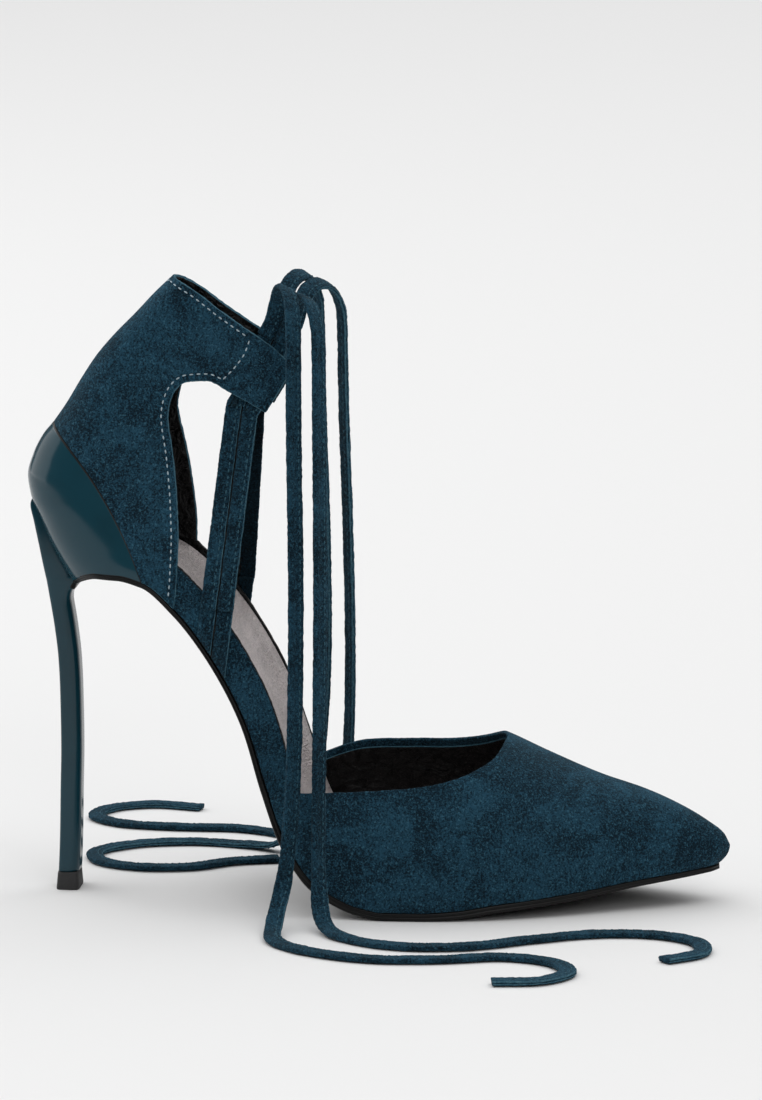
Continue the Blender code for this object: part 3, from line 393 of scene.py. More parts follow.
CUT_EDGE_SPANS = (10, 11, 15)
INSIDE_SPANS = range(16, 22)
STRIP_SPACING = 0.0010
STRIP_FUZZ = 0.00011
STRIP_SWELL, STRIP_RIPPLE, STRIP_NARROWING = (0.05, 310), (0.04, 730), (0.015, 450)
STRIP_MOST_SWELL = 1.08
BAR_STRIP_SHARE = 0.92
# The black backing behind each pair of bars is painted shade for the groove between the strips.
BAR_SEED, SHADE_BACKING_SEED = 5, 9
SHADE_BACKING_DEPTH, SHADE_BACKING_SHARE = 0.2, 0.3
TIE_STITCH_ASIDE = 0.0011
TIE_STITCH_HEIGHT = 0.97


# Curves through tables

def spline(xs, ys, x):
    """A smooth curve through the points xs, ys that keeps their rises and falls, read at x."""
    xs, ys, x = np.asarray(xs, float), np.asarray(ys, float), np.asarray(x, float)
    steps = np.diff(xs)
    slopes = np.diff(ys) / steps
    tangents = np.empty(len(xs))
    tangents[0], tangents[-1] = slopes[0], slopes[-1]
    for i in range(1, len(xs) - 1):
        before, after = slopes[i - 1], slopes[i]
        near, far = 2 * steps[i] + steps[i - 1], steps[i] + 2 * steps[i - 1]
        tangents[i] = (near + far) / (near / before + far / after) if before * after > 0 else 0.0
    at = np.clip(np.searchsorted(xs, x, side="right") - 1, 0, len(xs) - 2)
    t = np.clip((x - xs[at]) / steps[at], 0.0, 1.0)
    start = (1 + 2 * t) * (1 - t) ** 2 * ys[at] + t * (1 - t) ** 2 * steps[at] * tangents[at]
    end = t * t * (3 - 2 * t) * ys[at + 1] - t * t * (1 - t) * steps[at] * tangents[at + 1]
    return start + end


def column(rows, columns, name):
    return np.array([row[columns.index(name)] for row in rows])


def sole_column(name, q):
    return spline(range(len(SOLE)), column(SOLE, SOLE_COLUMNS, name), q)


def station_of(x_share):
    return float(np.interp(x_share, column(SOLE, SOLE_COLUMNS, "x"), range(len(SOLE))))


def x_at(share):
    return (share - 0.5) * LENGTH


def z_at(rise):
    return SEAT_HEIGHT + rise * BACK_RISE


# Sole

def sole_line(q):
    return np.array([x_at(sole_column("x", q)), sole_column("z", q) * SEAT_HEIGHT])


def sole_normal(q):
    step = 0.25
    along = sole_line(min(q + step, LAST_STATION)) - sole_line(max(q - step, 0))
    along /= np.linalg.norm(along)
    return np.array([-along[1], along[0]])


def layer(q):
    return OUTSOLE_WAIST + (OUTSOLE_FOREPART - OUTSOLE_WAIST) * float(sole_column("layer", q))


def feather(q):
    """Where the upper stands on the outsole, in the side view."""
    return sole_line(q) + sole_normal(q) * (layer(q) + CLEARANCE)


def sole_sides(q):
    seat = float(sole_column("seat", q))
    half = (SEAT_WIDTH * seat + BALL_WIDTH * (1 - seat)) / 2
    outer = float(sole_column("outer", q)) * half
    inner = float(sole_column("inner", q)) * half
    if sole_column("x", q) < SEAT_END:
        half = max(back_half(*feather(q)), BLADE_WIDTH / 2)
        outer = min(outer, half)
        inner = min(inner, half)
    return -outer, inner


# Back of the shoe

def back_line(z):
    rise = (z - SEAT_HEIGHT) / BACK_RISE
    return x_at(spline(column(BACK, BACK_COLUMNS, "rise"), column(BACK, BACK_COLUMNS, "back"), rise))


def back_half(x, z):
    """The half width of the back of the shoe at a point of its side view."""
    rise = (z - SEAT_HEIGHT) / BACK_RISE
    share = spline(column(BACK, BACK_COLUMNS, "rise"), column(BACK, BACK_COLUMNS, "half"), rise)
    half = share * SEAT_WIDTH / 2
    reach = np.clip((x - back_line(z)) / (BACK_FULLNESS * half), 0.0, 1.0)
    return half * np.sqrt(1 - (1 - reach) ** 2)


def fold_column(name):
    seat = column(SEAT_FOLDS, SEAT_FOLD_COLUMNS, name)
    return np.append(seat, column(FRONT_FOLDS, FRONT_FOLD_COLUMNS, name))


def fold_ends(u):
    """Both ends and the bow of the quarter's fold u, in the side view."""
    all_back = fold_column("back")
    if u <= TOP_CORNER_FOLD:
        back_z = z_at(spline(range(TOP_CORNER_FOLD + 1), all_back[:TOP_CORNER_FOLD + 1], u))
        back = np.array([back_line(back_z), back_z])
    else:
        top = range(TOP_CORNER_FOLD, LAST_FOLD + 1)
        top_x = column(FRONT_FOLDS, FRONT_FOLD_COLUMNS, "back_x")[-len(top):]
        back = np.array([x_at(spline(top, top_x, u)), z_at(spline(top, all_back[TOP_CORNER_FOLD:], u))])
    corner = feather(station_of(SEAT_FOLDS[FRONT_CORNER_FOLD][1]))
    if u <= FRONT_CORNER_FOLD:
        feet = column(SEAT_FOLDS, SEAT_FOLD_COLUMNS, "foot")
        front = feather(station_of(spline(range(len(feet)), feet, u)))
    else:
        rows = range(FRONT_CORNER_FOLD, LAST_FOLD + 1)
        xs = np.append(corner[0], x_at(column(FRONT_FOLDS, FRONT_FOLD_COLUMNS, "x")))
        zs = np.append(corner[1], z_at(column(FRONT_FOLDS, FRONT_FOLD_COLUMNS, "rise")))
        front = np.array([spline(rows, xs, u), spline(rows, zs, u)])
    return back, front, float(spline(range(LAST_FOLD + 1), fold_column("bow"), u))


def back_sheet(folds, across, insets):
    """The back of the shoe as points and faces, set in from its outer surface by each fold's inset."""
    shares = (np.arange(across + 1) / across) ** QUARTER_GATHER
    places, numbers, moves, on_sole = [], {}, [], []
    for i, u in enumerate(folds):
        back, front, bow = fold_ends(u)
        run = front - back
        aside = np.array([-run[1], run[0]])
        for j, share in enumerate(shares):
            x, z = back + run * share + aside * bow * 4 * share * (1 - share)
            half = back_half(x, z)
            middle = j == 0 and u <= TOP_CORNER_FOLD
            for side in (-1, 1):
                if middle and side == 1:
                    numbers[i, j, side] = numbers[i, j, -1]
                    continue
                numbers[i, j, side] = len(places)
                places.append((x, 0.0 if middle else side * half, z))
                moves.append(insets[i])
                on_sole.append(j == across and u <= FRONT_CORNER_FOLD)
    faces = []
    for i in range(len(folds) - 1):
        for j in range(across):
            for side in (-1, 1):
                corners = ((i, j), (i, j + 1), (i + 1, j + 1), (i + 1, j))
                face = [numbers[row, place, side] for row, place in corners]
                faces.append(face if side == -1 else face[::-1])
    points = np.array(places)
    shift = -poly_normals(points, faces) * np.array(moves)[:, None]
    flags = np.array(on_sole)
    shift[flags, 2] = np.maximum(shift[flags, 2], 0.0)
    return points + shift, faces


# Forepart

def fore_section(q):
    share = float(sole_column("x", q))
    feet = column(FORE, FORE_COLUMNS, "foot")
    ridge_x = x_at(spline(feet, column(FORE, FORE_COLUMNS, "ridge_x"), share))
    ridge_z = spline(feet, column(FORE, FORE_COLUMNS, "ridge_z"), share) * VAMP_RISE
    return feather(q), np.array([ridge_x, ridge_z])


def fore_sheet(stations, climbs, closed_toe):
    """Both sides of the forepart between stations, each with its own climbs, as one sheet."""
    points, faces = [], []
    rows = len(climbs[1][0])
    start, end = TOE_BULGE_SPAN
    for side in (-1, 1):
        base = len(points)
        for q, climb_row in zip(stations, climbs[side]):
            foot, ridge = fore_section(q)
            outer, inner = sole_sides(q)
            middle, half = (outer + inner) / 2, (inner - outer) / 2
            toe = max(0.0, (float(sole_column("x", q)) - start) / (end - start))
            for climb in climb_row:
                spread = (1 - min(climb, 1.0) ** FORE_ROUNDNESS) ** (1 / FORE_ROUNDNESS)
                x, z = foot + (ridge - foot) * climb
                x += TOE_BULGE * toe * 4 * climb * (1 - climb)
                points.append((x, middle + side * half * spread, z))
        for i in range(len(stations) - 1):
            for j in range(rows - 1):
                a = base + i * rows + j
                face = [a, a + rows, a + rows + 1, a + 1]
                faces.append(face if side == -1 else face[::-1])
    if closed_toe:
        last = (len(stations) - 1) * rows
        other = len(stations) * rows + last
        faces += [[last + j, other + j, other + j + 1, last + j + 1] for j in range(rows - 1)]
    return np.array(points), faces


def topline_z(x, side):
    shares, heights = np.array(TOPLINES[side]).T
    return spline(x_at(shares), heights * VAMP_RISE, x)


def topline_climb(q, side, drop=0.0):
    """How far up its section the vamp goes on this side at station q, this much under the topline."""
    if sole_column("x", q) >= THROAT_FOOT:
        return 1.0
    foot, ridge = fore_section(q)
    low, high = 0.0, 1.0
    for _ in range(HALVINGS):
        middle = (low + high) / 2
        x, z = foot + (ridge - foot) * middle
        if z < topline_z(x, side) - drop:
            low = middle
        else:
            high = middle
    return low


def vamp_start():
    first, last = VAMP_START_SEARCH
    for q in np.linspace(station_of(first), station_of(last), SEARCH_STEPS):
        x, z = feather(q)
        if topline_z(x, -1) - z > VAMP_CORNER:
            return float(q)
    return station_of(last)


# Meshes

def poly_normals(points, faces):
    """Normals at the points of a sheet of quads and triangles."""
    normals = np.zeros_like(points)
    for face in faces:
        ring = points[face]
        normal = np.cross(ring[1:-1] - ring[0], ring[2:] - ring[0]).sum(axis=0)
        normals[face] += normal
    return normals / np.maximum(np.linalg.norm(normals, axis=1), 1e-12)[:, None]


def welded(points, faces, within=0.00001):
    """Points that lie on each other made one, and faces that collapse dropped."""
    keys = np.round(points / within).astype(np.int64)
    _, first, index = np.unique(keys, axis=0, return_index=True, return_inverse=True)
    index = index.reshape(-1)
    kept = []
    for face in faces:
        ring = []
        for number in index[face]:
            if number not in ring:
                ring.append(int(number))
        if len(ring) > 2:
            kept.append(ring)
    return points[first], kept


def placed(name, data):
    """An object of that name with its mesh, lamp or camera, linked to the scene."""
    thing = bpy.data.objects.new(name, data)
    bpy.context.scene.collection.objects.link(thing)
    return thing


def piece(name, shape, materials, replaced=()):
    """A finished piece: it rides on the shoe and hides the solids it stands for."""
    points, faces, kinds = shape
    mesh = bpy.data.meshes.new(name)
    mesh.from_pydata([tuple(map(float, p)) for p in points], [], [list(map(int, f)) for f in faces])
    for material in materials:
        mesh.materials.append(material)
    mesh.polygons.foreach_set("material_index", np.array(kinds, np.int32))
    mesh.shade_smooth()
    mesh.update()
    thing = placed(name, mesh)
    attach(thing, "root")
    if replaced:
        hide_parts(*replaced)
    return thing


def thick_sheet(points, faces, thickness, roll=4, bulge=0.5, fuzz=RIM_FUZZ):
    """A sheet with thickness inwards and rounded edges: points, faces, and 0 outside, 1 edge, 2 inside."""
    normals = poly_normals(points, faces)
    count = len(points)
    inner = points - normals * thickness
    directed = dict.fromkeys((a, b) for face in faces for a, b in zip(face, face[1:] + face[:1]))
    border = [edge for edge in directed if (edge[1], edge[0]) not in directed]
    outwards = np.zeros_like(points)
    for a, b in border:
        aside = np.cross(points[b] - points[a], (normals[a] + normals[b]) / 2)
        aside /= max(np.linalg.norm(aside), 1e-12)
        outwards[a] += aside
        outwards[b] += aside
    outwards /= np.maximum(np.linalg.norm(outwards, axis=1), 1e-12)[:, None]
    rim_numbers = sorted({number for edge in border for number in edge})
    place = {number: k for k, number in enumerate(rim_numbers)}
    shag = np.random.default_rng(len(points)).uniform(-fuzz, fuzz, (len(rim_numbers), 1))
    layers = [points, inner]
    for k in range(1, roll + 1):
        angle = math.pi * k / (roll + 1)
        half = thickness / 2
        rim = points[rim_numbers] - normals[rim_numbers] * half * (1 - math.cos(angle))
        layers.append(rim + outwards[rim_numbers] * (half * bulge + shag) * math.sin(angle))
    every = np.vstack(layers)
    new_faces = [list(face) for face in faces]
    kinds = [0] * len(faces)
    for a, b in border:
        chain_a = [a] + [2 * count + k * len(rim_numbers) + place[a] for k in range(roll)] + [count + a]
        chain_b = [b] + [2 * count + k * len(rim_numbers) + place[b] for k in range(roll)] + [count + b]
        for k in range(roll + 1):
            new_faces.append([chain_b[k], chain_a[k], chain_a[k + 1], chain_b[k + 1]])
            kinds.append(1)
    for face in faces:
        new_faces.append([count + number for number in face[::-1]])
        kinds.append(2)
    return every, new_faces, kinds


def tube(rings):
    """A closed form through rings of equally many points: points, faces and 0 for each face."""
    size = len(rings[0])
    points = np.vstack([np.array(ring, float) for ring in rings])
    faces = []
    for i in range(len(rings) - 1):
        for k in range(size):
            a, b = i * size + k, i * size + (k + 1) % size
            faces.append([a, b, b + size, a + size])
    faces.append(list(range(size))[::-1])
    faces.append([len(points) - size + k for k in range(size)])
    return points, faces, [0] * len(faces)


def joined(parts):
    """Several (points, faces, kinds) as one."""
    points, faces, kinds, base = [], [], [], 0
    for part_points, part_faces, part_kinds in parts:
        points.append(part_points)
        faces += [[number + base for number in face] for face in part_faces]
        kinds += list(part_kinds)
        base += len(part_points)
    return np.vstack(points), faces, kinds


def smooth_path(points, count):
    """Evenly spaced points on a smooth curve through the given ones."""
    points = np.array(points, float)
    padded = np.vstack([2 * points[0] - points[1], points, 2 * points[-1] - points[-2]])
    fine = []
    for i in range(len(points) - 1):
        a, b, c, d = padded[i:i + 4]
        for t in np.linspace(0, 1, CURVE_STEPS, endpoint=False):
            fine.append(0.5 * (2 * b + (c - a) * t + (2 * a - 5 * b + 4 * c - d) * t * t
                               + (3 * b - a - 3 * c + d) * t ** 3))
    fine.append(points[-1])
    return resampled(np.array(fine), count)


def runs_along(path):
    return np.append(0.0, np.cumsum(np.linalg.norm(np.diff(path, axis=0), axis=1)))


def resampled(path, count):
    runs = runs_along(path)
    even = np.linspace(0, runs[-1], count)
    return np.stack([np.interp(even, runs, path[:, k]) for k in range(path.shape[1])], axis=1)


def tangents_of(path):
    along = np.gradient(path, axis=0)
    return along / np.linalg.norm(along, axis=1)[:, None]


# Stitches

def stitches(path, normals, sizes):
    """A row of sewn stitches along a path on a surface, whose ends dip into it."""
    runs = runs_along(path)

    def read(rows, run):
        return np.array([np.interp(run, runs, rows[:, k]) for k in range(3)])

    parts = []
    count = int(runs[-1] // sizes.stitch_pitch)
    radius = sizes.thread_width / 2
    for n in range(count):
        rings = []
        for share in np.linspace(0.0, 1.0, STITCH_RINGS):
            run = (n + 0.5) * sizes.stitch_pitch + (share - 0.5) * sizes.stitch_length
            tangent = read(path, run + radius) - read(path, run - radius)
            tangent /= max(np.linalg.norm(tangent), 1e-12)
            normal = read(normals, run)
            normal /= np.linalg.norm(normal)
            aside = np.cross(tangent, normal)
            bow = 1 - (2 * share - 1) ** 2
            width = radius * (STITCH_END_WIDTH + (1 - STITCH_END_WIDTH) * bow)
            middle = read(path, run) + normal * radius * (STITCH_RISE * bow - STITCH_SINK)
            rings.append([middle + (aside * math.cos(angle) + normal * math.sin(angle)) * width
                          for angle in np.linspace(0, 2 * math.pi, STITCH_SIDES, endpoint=False)])
        parts.append(tube(rings))
    return joined(parts)


def quarter_surface(line, side):
    """Points of a side view line on the quarter's surface, with the surface's normals."""
    step = SURFACE_STEP
    places, normals = [], []
    for x, z in line:
        half = float(back_half(x, z))
        by_x = (float(back_half(x + step, z)) - float(back_half(x - step, z))) / (2 * step)
        by_z = (float(back_half(x, z + step)) - float(back_half(x, z - step))) / (2 * step)
        normal = np.array([-by_x, float(side), -by_z])
        normal /= np.linalg.norm(normal)
        places.append((x, side * half, z))
        normals.append(normal)
    return np.array(places), np.array(normals)


def offset_line(line, distance):
    """A side view line moved aside, to the left of its run for a positive distance."""
    along = tangents_of(line)
    return line + np.stack([-along[:, 1], along[:, 0]], axis=1) * distance


def curve_through(table, count):
    return smooth_path([(x_at(x), z_at(rise)) for x, rise in table], count)


# Shader maths

class Value:
    """A socket in a material's nodes that takes part in Python expressions."""

    def __init__(self, paint, socket):
        self.paint = paint
        self.socket = socket

    def __add__(self, other):
        return self.paint.math("ADD", self, other)

    __radd__ = __add__

    def __sub__(self, other):
        return self.paint.math("SUBTRACT", self, other)

    def __rsub__(self, other):
        return self.paint.math("SUBTRACT", other, self)

    def __mul__(self, other):
        return self.paint.math("MULTIPLY", self, other)

    __rmul__ = __mul__

    def within(self, low, high):
        """0 at low and 1 at high, smooth between."""
        settings = {"interpolation_type": "SMOOTHSTEP", "clamp": True}
        return self.paint.node("ShaderNodeMapRange", settings, {0: self, 1: low, 2: high})

    def mix(self, first, second):
        """The first colour where this is 0 and the second where it is 1."""
        sockets = {0: self, 6: first, 7: second}
        return self.paint.node("ShaderNodeMix", {"data_type": "RGBA"}, sockets, output=2)


class Paint:
    """One material and its nodes."""

    def __init__(self, name):
        self.material = bpy.data.materials.new(name)
        self.material.use_nodes = True
        self.tree = self.material.node_tree
        self.shader = self.tree.nodes["Principled BSDF"]
        self.place = self.node("ShaderNodeTexCoord", output=3)

    def node(self, kind, settings=None, inputs=None, output=0):
        node = self.tree.nodes.new(kind)
        for name, value in (settings or {}).items():
            setattr(node, name, value)
        for name, value in (inputs or {}).items():
            self.feed(node.inputs[name], value)
        return Value(self, node.outputs[output])

    def feed(self, socket, value):
        if isinstance(value, Value):
            self.tree.links.new(value.socket, socket)
        else:
            socket.default_value = value

    def math(self, operation, first, second):
        return self.node("ShaderNodeMath", {"operation": operation}, {0: first, 1: second})

    def stretched(self, scale, turn=(0.0, 0.0, 0.0)):
        """The object's coordinates turned and scaled."""
        return self.node("ShaderNodeMapping", None, {"Vector": self.place, "Rotation": turn, "Scale": scale})

    def noise(self, scale, detail=2.0, roughness=0.5, distortion=0.0, at=None):
        return self.node("ShaderNodeTexNoise", None, {
            "Vector": at or self.place, "Scale": scale, "Detail": detail,
            "Roughness": roughness, "Distortion": distortion})

    def cells(self, scale, at=None):
        return self.node("ShaderNodeTexVoronoi", None, {"Vector": at or self.place, "Scale": scale})

    def finish(self, colour, roughness, bump=None, depth=0.0001, **constants):
        """Feeds the shader: what varies by links, and what is the same all over on its own sockets."""
        self.feed(self.shader.inputs["Base Color"], colour)
        self.feed(self.shader.inputs["Roughness"], roughness)
        if bump is not None:
            inputs = {"Height": bump, "Distance": depth, "Strength": 1.0}
            self.feed(self.shader.inputs["Normal"], self.node("ShaderNodeBump", None, inputs))
        for name, value in constants.items():
            self.shader.inputs[name.replace("_", " ").title().replace("Ior", "IOR")].default_value = value
        return self.material


def rgb(colour, factor=1.0):
    return (colour[0] * factor, colour[1] * factor, colour[2] * factor, 1.0)


def suede_paint(name, colours, shade=1.0):
    """Napped suede: broad patches where the nap lies another way, short strokes and a fine grain."""
    paint = Paint(name)
    patches = paint.noise(56.0, 4.0, 0.55, 0.7).within(0.37, 0.65)
    clouds = paint.noise(210.0, 3.0, 0.60, 0.8).within(0.30, 0.70)
    strokes = paint.noise(1.0, 3.0, 0.6, 0.8, at=paint.stretched((1150.0, 1150.0, 450.0), (0.3, 0.5, 0.0)))
    grain = paint.noise(1900.0, 2.0, 0.80)
    specks = paint.noise(1500.0, 1.5, 0.7).within(0.55, 0.70)
    tone = patches * 0.40 + clouds * 0.24 + strokes.within(0.30, 0.70) * 0.36 + (grain - 0.5) * 3.1 - 0.04
    base = tone.within(0.0, 1.0).mix(rgb(colours.suede_dark, shade), rgb(colours.suede_light, shade))
    colour = (specks * 0.52).mix(base, rgb(colours.suede_fleck, shade))
    return paint.finish(colour, 0.94, grain + strokes, 0.00036, sheen_weight=0.10, sheen_roughness=0.5,
                        sheen_tint=(0.35, 0.62, 0.75, 1.0), specular_ior_level=0.10)


def edge_paint(name, colours):
    """Cut edge of the suede, paler than its face."""
    paint = Paint(name)
    fibre = paint.noise(1600.0, 3.0, 0.7)
    colour = fibre.within(0.25, 0.75).mix(rgb(colours.suede_light), rgb(colours.cut_edge))
    return paint.finish(colour, 0.95, fibre, 0.00020, specular_ior_level=0.15)


def lining_paint(name, colours):
    """Thin black lining with a slight shine and small creases, its colour lighter on the crease ridges as a
    painted highlight.
    """
    paint = Paint(name)
    crease = paint.noise(210.0, 4.0, 0.62, 1.2)
    grain = paint.cells(1500.0)
    # Lighter colour where the creases rise: painted highlight.
    colour = crease.within(0.3, 0.8).mix(rgb(colours.lining, 0.7), rgb(colours.lining, 1.5))
    rough = crease * 0.20 + 0.20
    return paint.finish(colour, rough, crease * 2.6 + grain * 0.20, 0.00080, specular_ior_level=0.26)


def patent_paint(name, colours):
    """Patent finish: deep colour under a clear coat, with a faint unevenness."""
    paint = Paint(name)
    wave = paint.noise(60.0, 2.0, 0.5)
    depth = wave.within(0.35, 0.65).mix(rgb(colours.patent, 0.92), rgb(colours.patent, 1.10))
    rough = paint.noise(420.0, 3.0, 0.6) * 0.10 + 0.55
    return paint.finish(depth, rough, wave, 0.00010, coat_weight=0.75, coat_roughness=0.15,
                        coat_ior=1.45, specular_ior_level=0.05)


def sock_paint(name, colours):
    """Soft leather with a low sheen, fine cross wrinkles and pores; its colour varies at random in soft
    clouds, and is lighter on the wrinkles' crests and darker in their troughs and in the pores, painted light
    and shade of the relief.
    """
    paint = Paint(name)
    wrinkles = paint.noise(1.0, 3.0, 0.6, 1.6, at=paint.stretched((900.0, 170.0, 900.0), (0.0, 0.4, 0.0)))
    pores = paint.cells(1250.0)
    cloud = paint.noise(90.0, 3.0, 0.6)
    # The cloud part is the leather's own uneven tone; the wrinkle and pore parts paint the light and shade of
    # the relief.
    tone = cloud.within(0.3, 0.7) * 0.38 + wrinkles.within(0.35, 0.65) * 0.37 + pores.within(0.0, 0.5) * 0.25
    colour = tone.mix(rgb(colours.sock, 0.64), rgb(colours.sock, 1.16))
    rough = wrinkles * 0.12 + 0.32
    return paint.finish(colour, rough, wrinkles * 1.3 + pores * 0.60, 0.00120, metallic=0.32,
                        specular_ior_level=0.5)


def plain_paint(name, colour, roughness, scale, relief, depth, **constants):
    """Rubber, board or painted edge: a dark finish with a fine grain and rubbed spots."""
    paint = Paint(name)
    grain = paint.noise(scale, 3.0, 0.6)
    rubbed = paint.noise(scale * 0.08, 3.0, 0.6).within(0.4, 0.7)
    shade = (grain.within(0.3, 0.7) * 0.5 + rubbed * 0.5).mix(rgb(colour, 0.80), rgb(colour, 1.30))
    return paint.finish(shade, rubbed * 0.10 + roughness, grain * relief, depth, **constants)


def thread_paint(name, colour):
    paint = Paint(name)
    twist = paint.noise(2600.0, 2.0, 0.6)
    shade = twist.within(0.25, 0.75).mix(rgb(colour, 0.72), rgb(colour, 1.12))
    return paint.finish(shade, 0.75, twist, 0.00012, specular_ior_level=0.3)


PAINTS = {}


def paint(name):
    """The material of that name, made when it is first asked for."""
    if name not in PAINTS:
        colours = bpy.context.scene.shoe_colours
        makers = {
            "suede": lambda: suede_paint("suede", colours),
            "tie_suede": lambda: suede_paint("tie_suede", colours, 0.86),
            # The same suede much darker, for the bars' faces towards the foot: painted shade.
            "tie_inside_painted_shade": lambda: suede_paint("tie_inside_painted_shade", colours, 0.24),
            "suede_edge": lambda: edge_paint("suede_edge", colours),
            "lining": lambda: lining_paint("lining", colours),
            "patent": lambda: patent_paint("patent", colours),
            "sock": lambda: sock_paint("sock_leather", colours),
            "outsole": lambda: plain_paint("outsole_edge", colours.outsole, 0.32, 900.0, 1.0, 0.00004,
                                           specular_ior_level=0.22),
            "board": lambda: plain_paint("board", colours.outsole, 0.70, 700.0, 1.0, 0.0001),
            "tip": lambda: plain_paint("tip_rubber", colours.tip, 0.62, 600.0, 1.0, 0.00012),
            "thread": lambda: thread_paint("thread", colours.thread),
            "tie_thread": lambda: thread_paint("tie_thread", colours.tie_thread),
        }
        PAINTS[name] = makers[name]()
    return PAINTS[name]


# Settings

def length_setting(name, description, default):
    return bpy.props.FloatProperty(name=name, description=description, default=default, min=0.0,
                                   precision=4, unit="LENGTH")


def colour_setting(name, description, default):
    return bpy.props.FloatVectorProperty(name=name, description=description, default=default, size=3,
                                         min=0.0, max=1.0, subtype="COLOR")


class ShoeSizes(bpy.types.PropertyGroup):
    """Sizes of the details that dress the shoe."""
    stitch_pitch: length_setting("Stitch pitch", "Distance from one stitch to the next", 0.00218)
    stitch_length: length_setting("Stitch length", "Length of a stitch that shows", 0.00132)
    thread_width: length_setting("Thread width", "Width of the sewing thread", 0.00044)
    stitch_inset: length_setting("Stitch inset", "Distance of the stitches from the quarter's edge", 0.0019)
    suede_thickness: length_setting("Suede thickness", "Thickness of the suede", 0.0011)
    lining_thickness: length_setting("Lining thickness", "Thickness of the lining", 0.0006)
    lining_drop: length_setting("Lining drop", "How far the vamp's lining ends under its edge", 0.0020)


class ShoeColours(bpy.types.PropertyGroup):
    """Colours of the shoe and its stage, linear."""
    suede_dark: colour_setting("Dark suede", "Suede where the nap lies away", (0.0022, 0.0098, 0.0175))
    suede_light: colour_setting("Light suede", "Suede where the nap faces up", (0.0165, 0.0640, 0.1050))
    suede_fleck: colour_setting("Suede flecks", "Single pale fibres", (0.0520, 0.1560, 0.2250))
    cut_edge: colour_setting("Cut edge", "Cut edge of the suede", (0.0750, 0.1700, 0.2150))
    patent: colour_setting("Patent", "Patent heel under its coat", (0.0030, 0.0350, 0.0520))
    lining: colour_setting("Lining", "Lining of the upper", (0.0014, 0.0014, 0.0015))
    sock: colour_setting("Sock", "Leather sock", (0.7100, 0.6450, 0.6400))
    outsole: colour_setting("Outsole", "Edge and face of the outsole", (0.0030, 0.0030, 0.0032))
    tip: colour_setting("Heel tip", "Wearing piece under the heel", (0.0200, 0.0200, 0.0210))
    thread: colour_setting("Thread", "Pale thread of the quarter", (0.4200, 0.5300, 0.5900))
    tie_thread: colour_setting("Tie thread", "Thread down the ties", (0.0300, 0.1000, 0.1400))
    floor: colour_setting("Floor", "Floor under the shoe", (0.765, 0.765, 0.765))


# Tie strips

def wave(size_and_turn, run, phase):
    size, turn = size_and_turn
    return size * math.sin(run * turn + phase)


def strip_mesh(path, flats, outwards, seed, width=STRIP_WIDTH, thickness=STRIP_THICKNESS):
    """A folded suede strip with a groove down its middle and two cut edges, a little uneven all along."""
    draw = np.random.default_rng(seed)
    rings = []
    for i, (place, flat, outward) in enumerate(zip(path, flats, outwards)):
        run = i * STRIP_SPACING
        swell = min(1 + wave(STRIP_SWELL, run, seed) + wave(STRIP_RIPPLE, run, 2 * seed), STRIP_MOST_SWELL)
        narrow = 1 + wave(STRIP_NARROWING, run, 3 * seed)
        ring = np.array([place + flat * width / 2 * a * narrow
                         + outward * thickness / 2 * b * swell for a, b in STRIP_OUTLINE])
        ring += draw.uniform(-STRIP_FUZZ, STRIP_FUZZ, ring.shape)
        ring[:, 2] = np.maximum(ring[:, 2], STRIP_FUZZ)
        rings.append(ring)
    points, faces, kinds = tube(rings)
    size = len(STRIP_OUTLINE)
    for n in range(len(faces) - 2):
        kinds[n] = 1 if n % size in CUT_EDGE_SPANS else 0
    return points, faces, kinds


def level_frames(path, start_flat):
    """Flats and outward directions along a free end, which turns flat to the floor where it lies."""
    flat = np.array(start_flat, float)
    flats, outwards = [], []
    for place, tangent in zip(path, tangents_of(path)):
        flat = flat - tangent * (flat @ tangent)
        flat /= np.linalg.norm(flat)
        level = np.cross((0.0, 0.0, 1.0), tangent)
        lying = float(np.clip((LYING_FROM - place[2]) / (LYING_FROM - LYING_AT), 0, 1)) ** 2
        if lying > 0:
            level *= 1 if level @ flat > 0 else -1
            flat = flat * (1 - lying) + level * lying
            flat = flat - tangent * (flat @ tangent)
            flat /= np.linalg.norm(flat)
        flats.append(flat)
        outwards.append(np.cross(tangent, flat))
    return flats, outwards


def tunnel_frame():
    low, high = [np.array([x_at(x), z_at(rise)]) for x, rise in TUNNEL_MOUTHS]
    along = (high - low) / np.linalg.norm(high - low)
    return low, high, along, np.array([along[1], -along[0]])


def tie_stitch_row(path, flats, outwards, side):
    """The stitches along one face of a strip, in its third material."""
    rows = np.array(outwards) * side
    surface = path + np.array(flats) * TIE_STITCH_ASIDE + rows * STRIP_THICKNESS / 2 * TIE_STITCH_HEIGHT
    points, faces, kinds = stitches(surface, rows, bpy.context.scene.shoe_sizes)
    return points, faces, [2] * len(kinds)


class SHOE_OT_ties(bpy.types.Operator):
    """Makes the four free ends of the ties, which come out of the tunnels, hang and lie on the floor"""
    bl_idname = "shoe.ties"
    bl_label = "Free tie ends"

    def execute(self, context):
        across = tunnel_frame()[3]
        materials = [paint("tie_suede"), paint("suede_edge"), paint("tie_thread")]
        for seed, (name, route) in enumerate(TIE_ROUTES.items()):
            rough = smooth_path(route, ROUTE_POINTS)
            length = float(np.linalg.norm(np.diff(rough, axis=0), axis=1).sum())
            path = resampled(rough, int(length / STRIP_SPACING))
            flats, outwards = level_frames(path, (across[0], 0.0, across[1]))
            body = strip_mesh(path, flats, outwards, seed)
            rows = [tie_stitch_row(path, flats, outwards, side) for side in (-1, 1)]
            strip = piece(name + "_strip", joined([body] + rows), materials, [name])
        return {"FINISHED"}


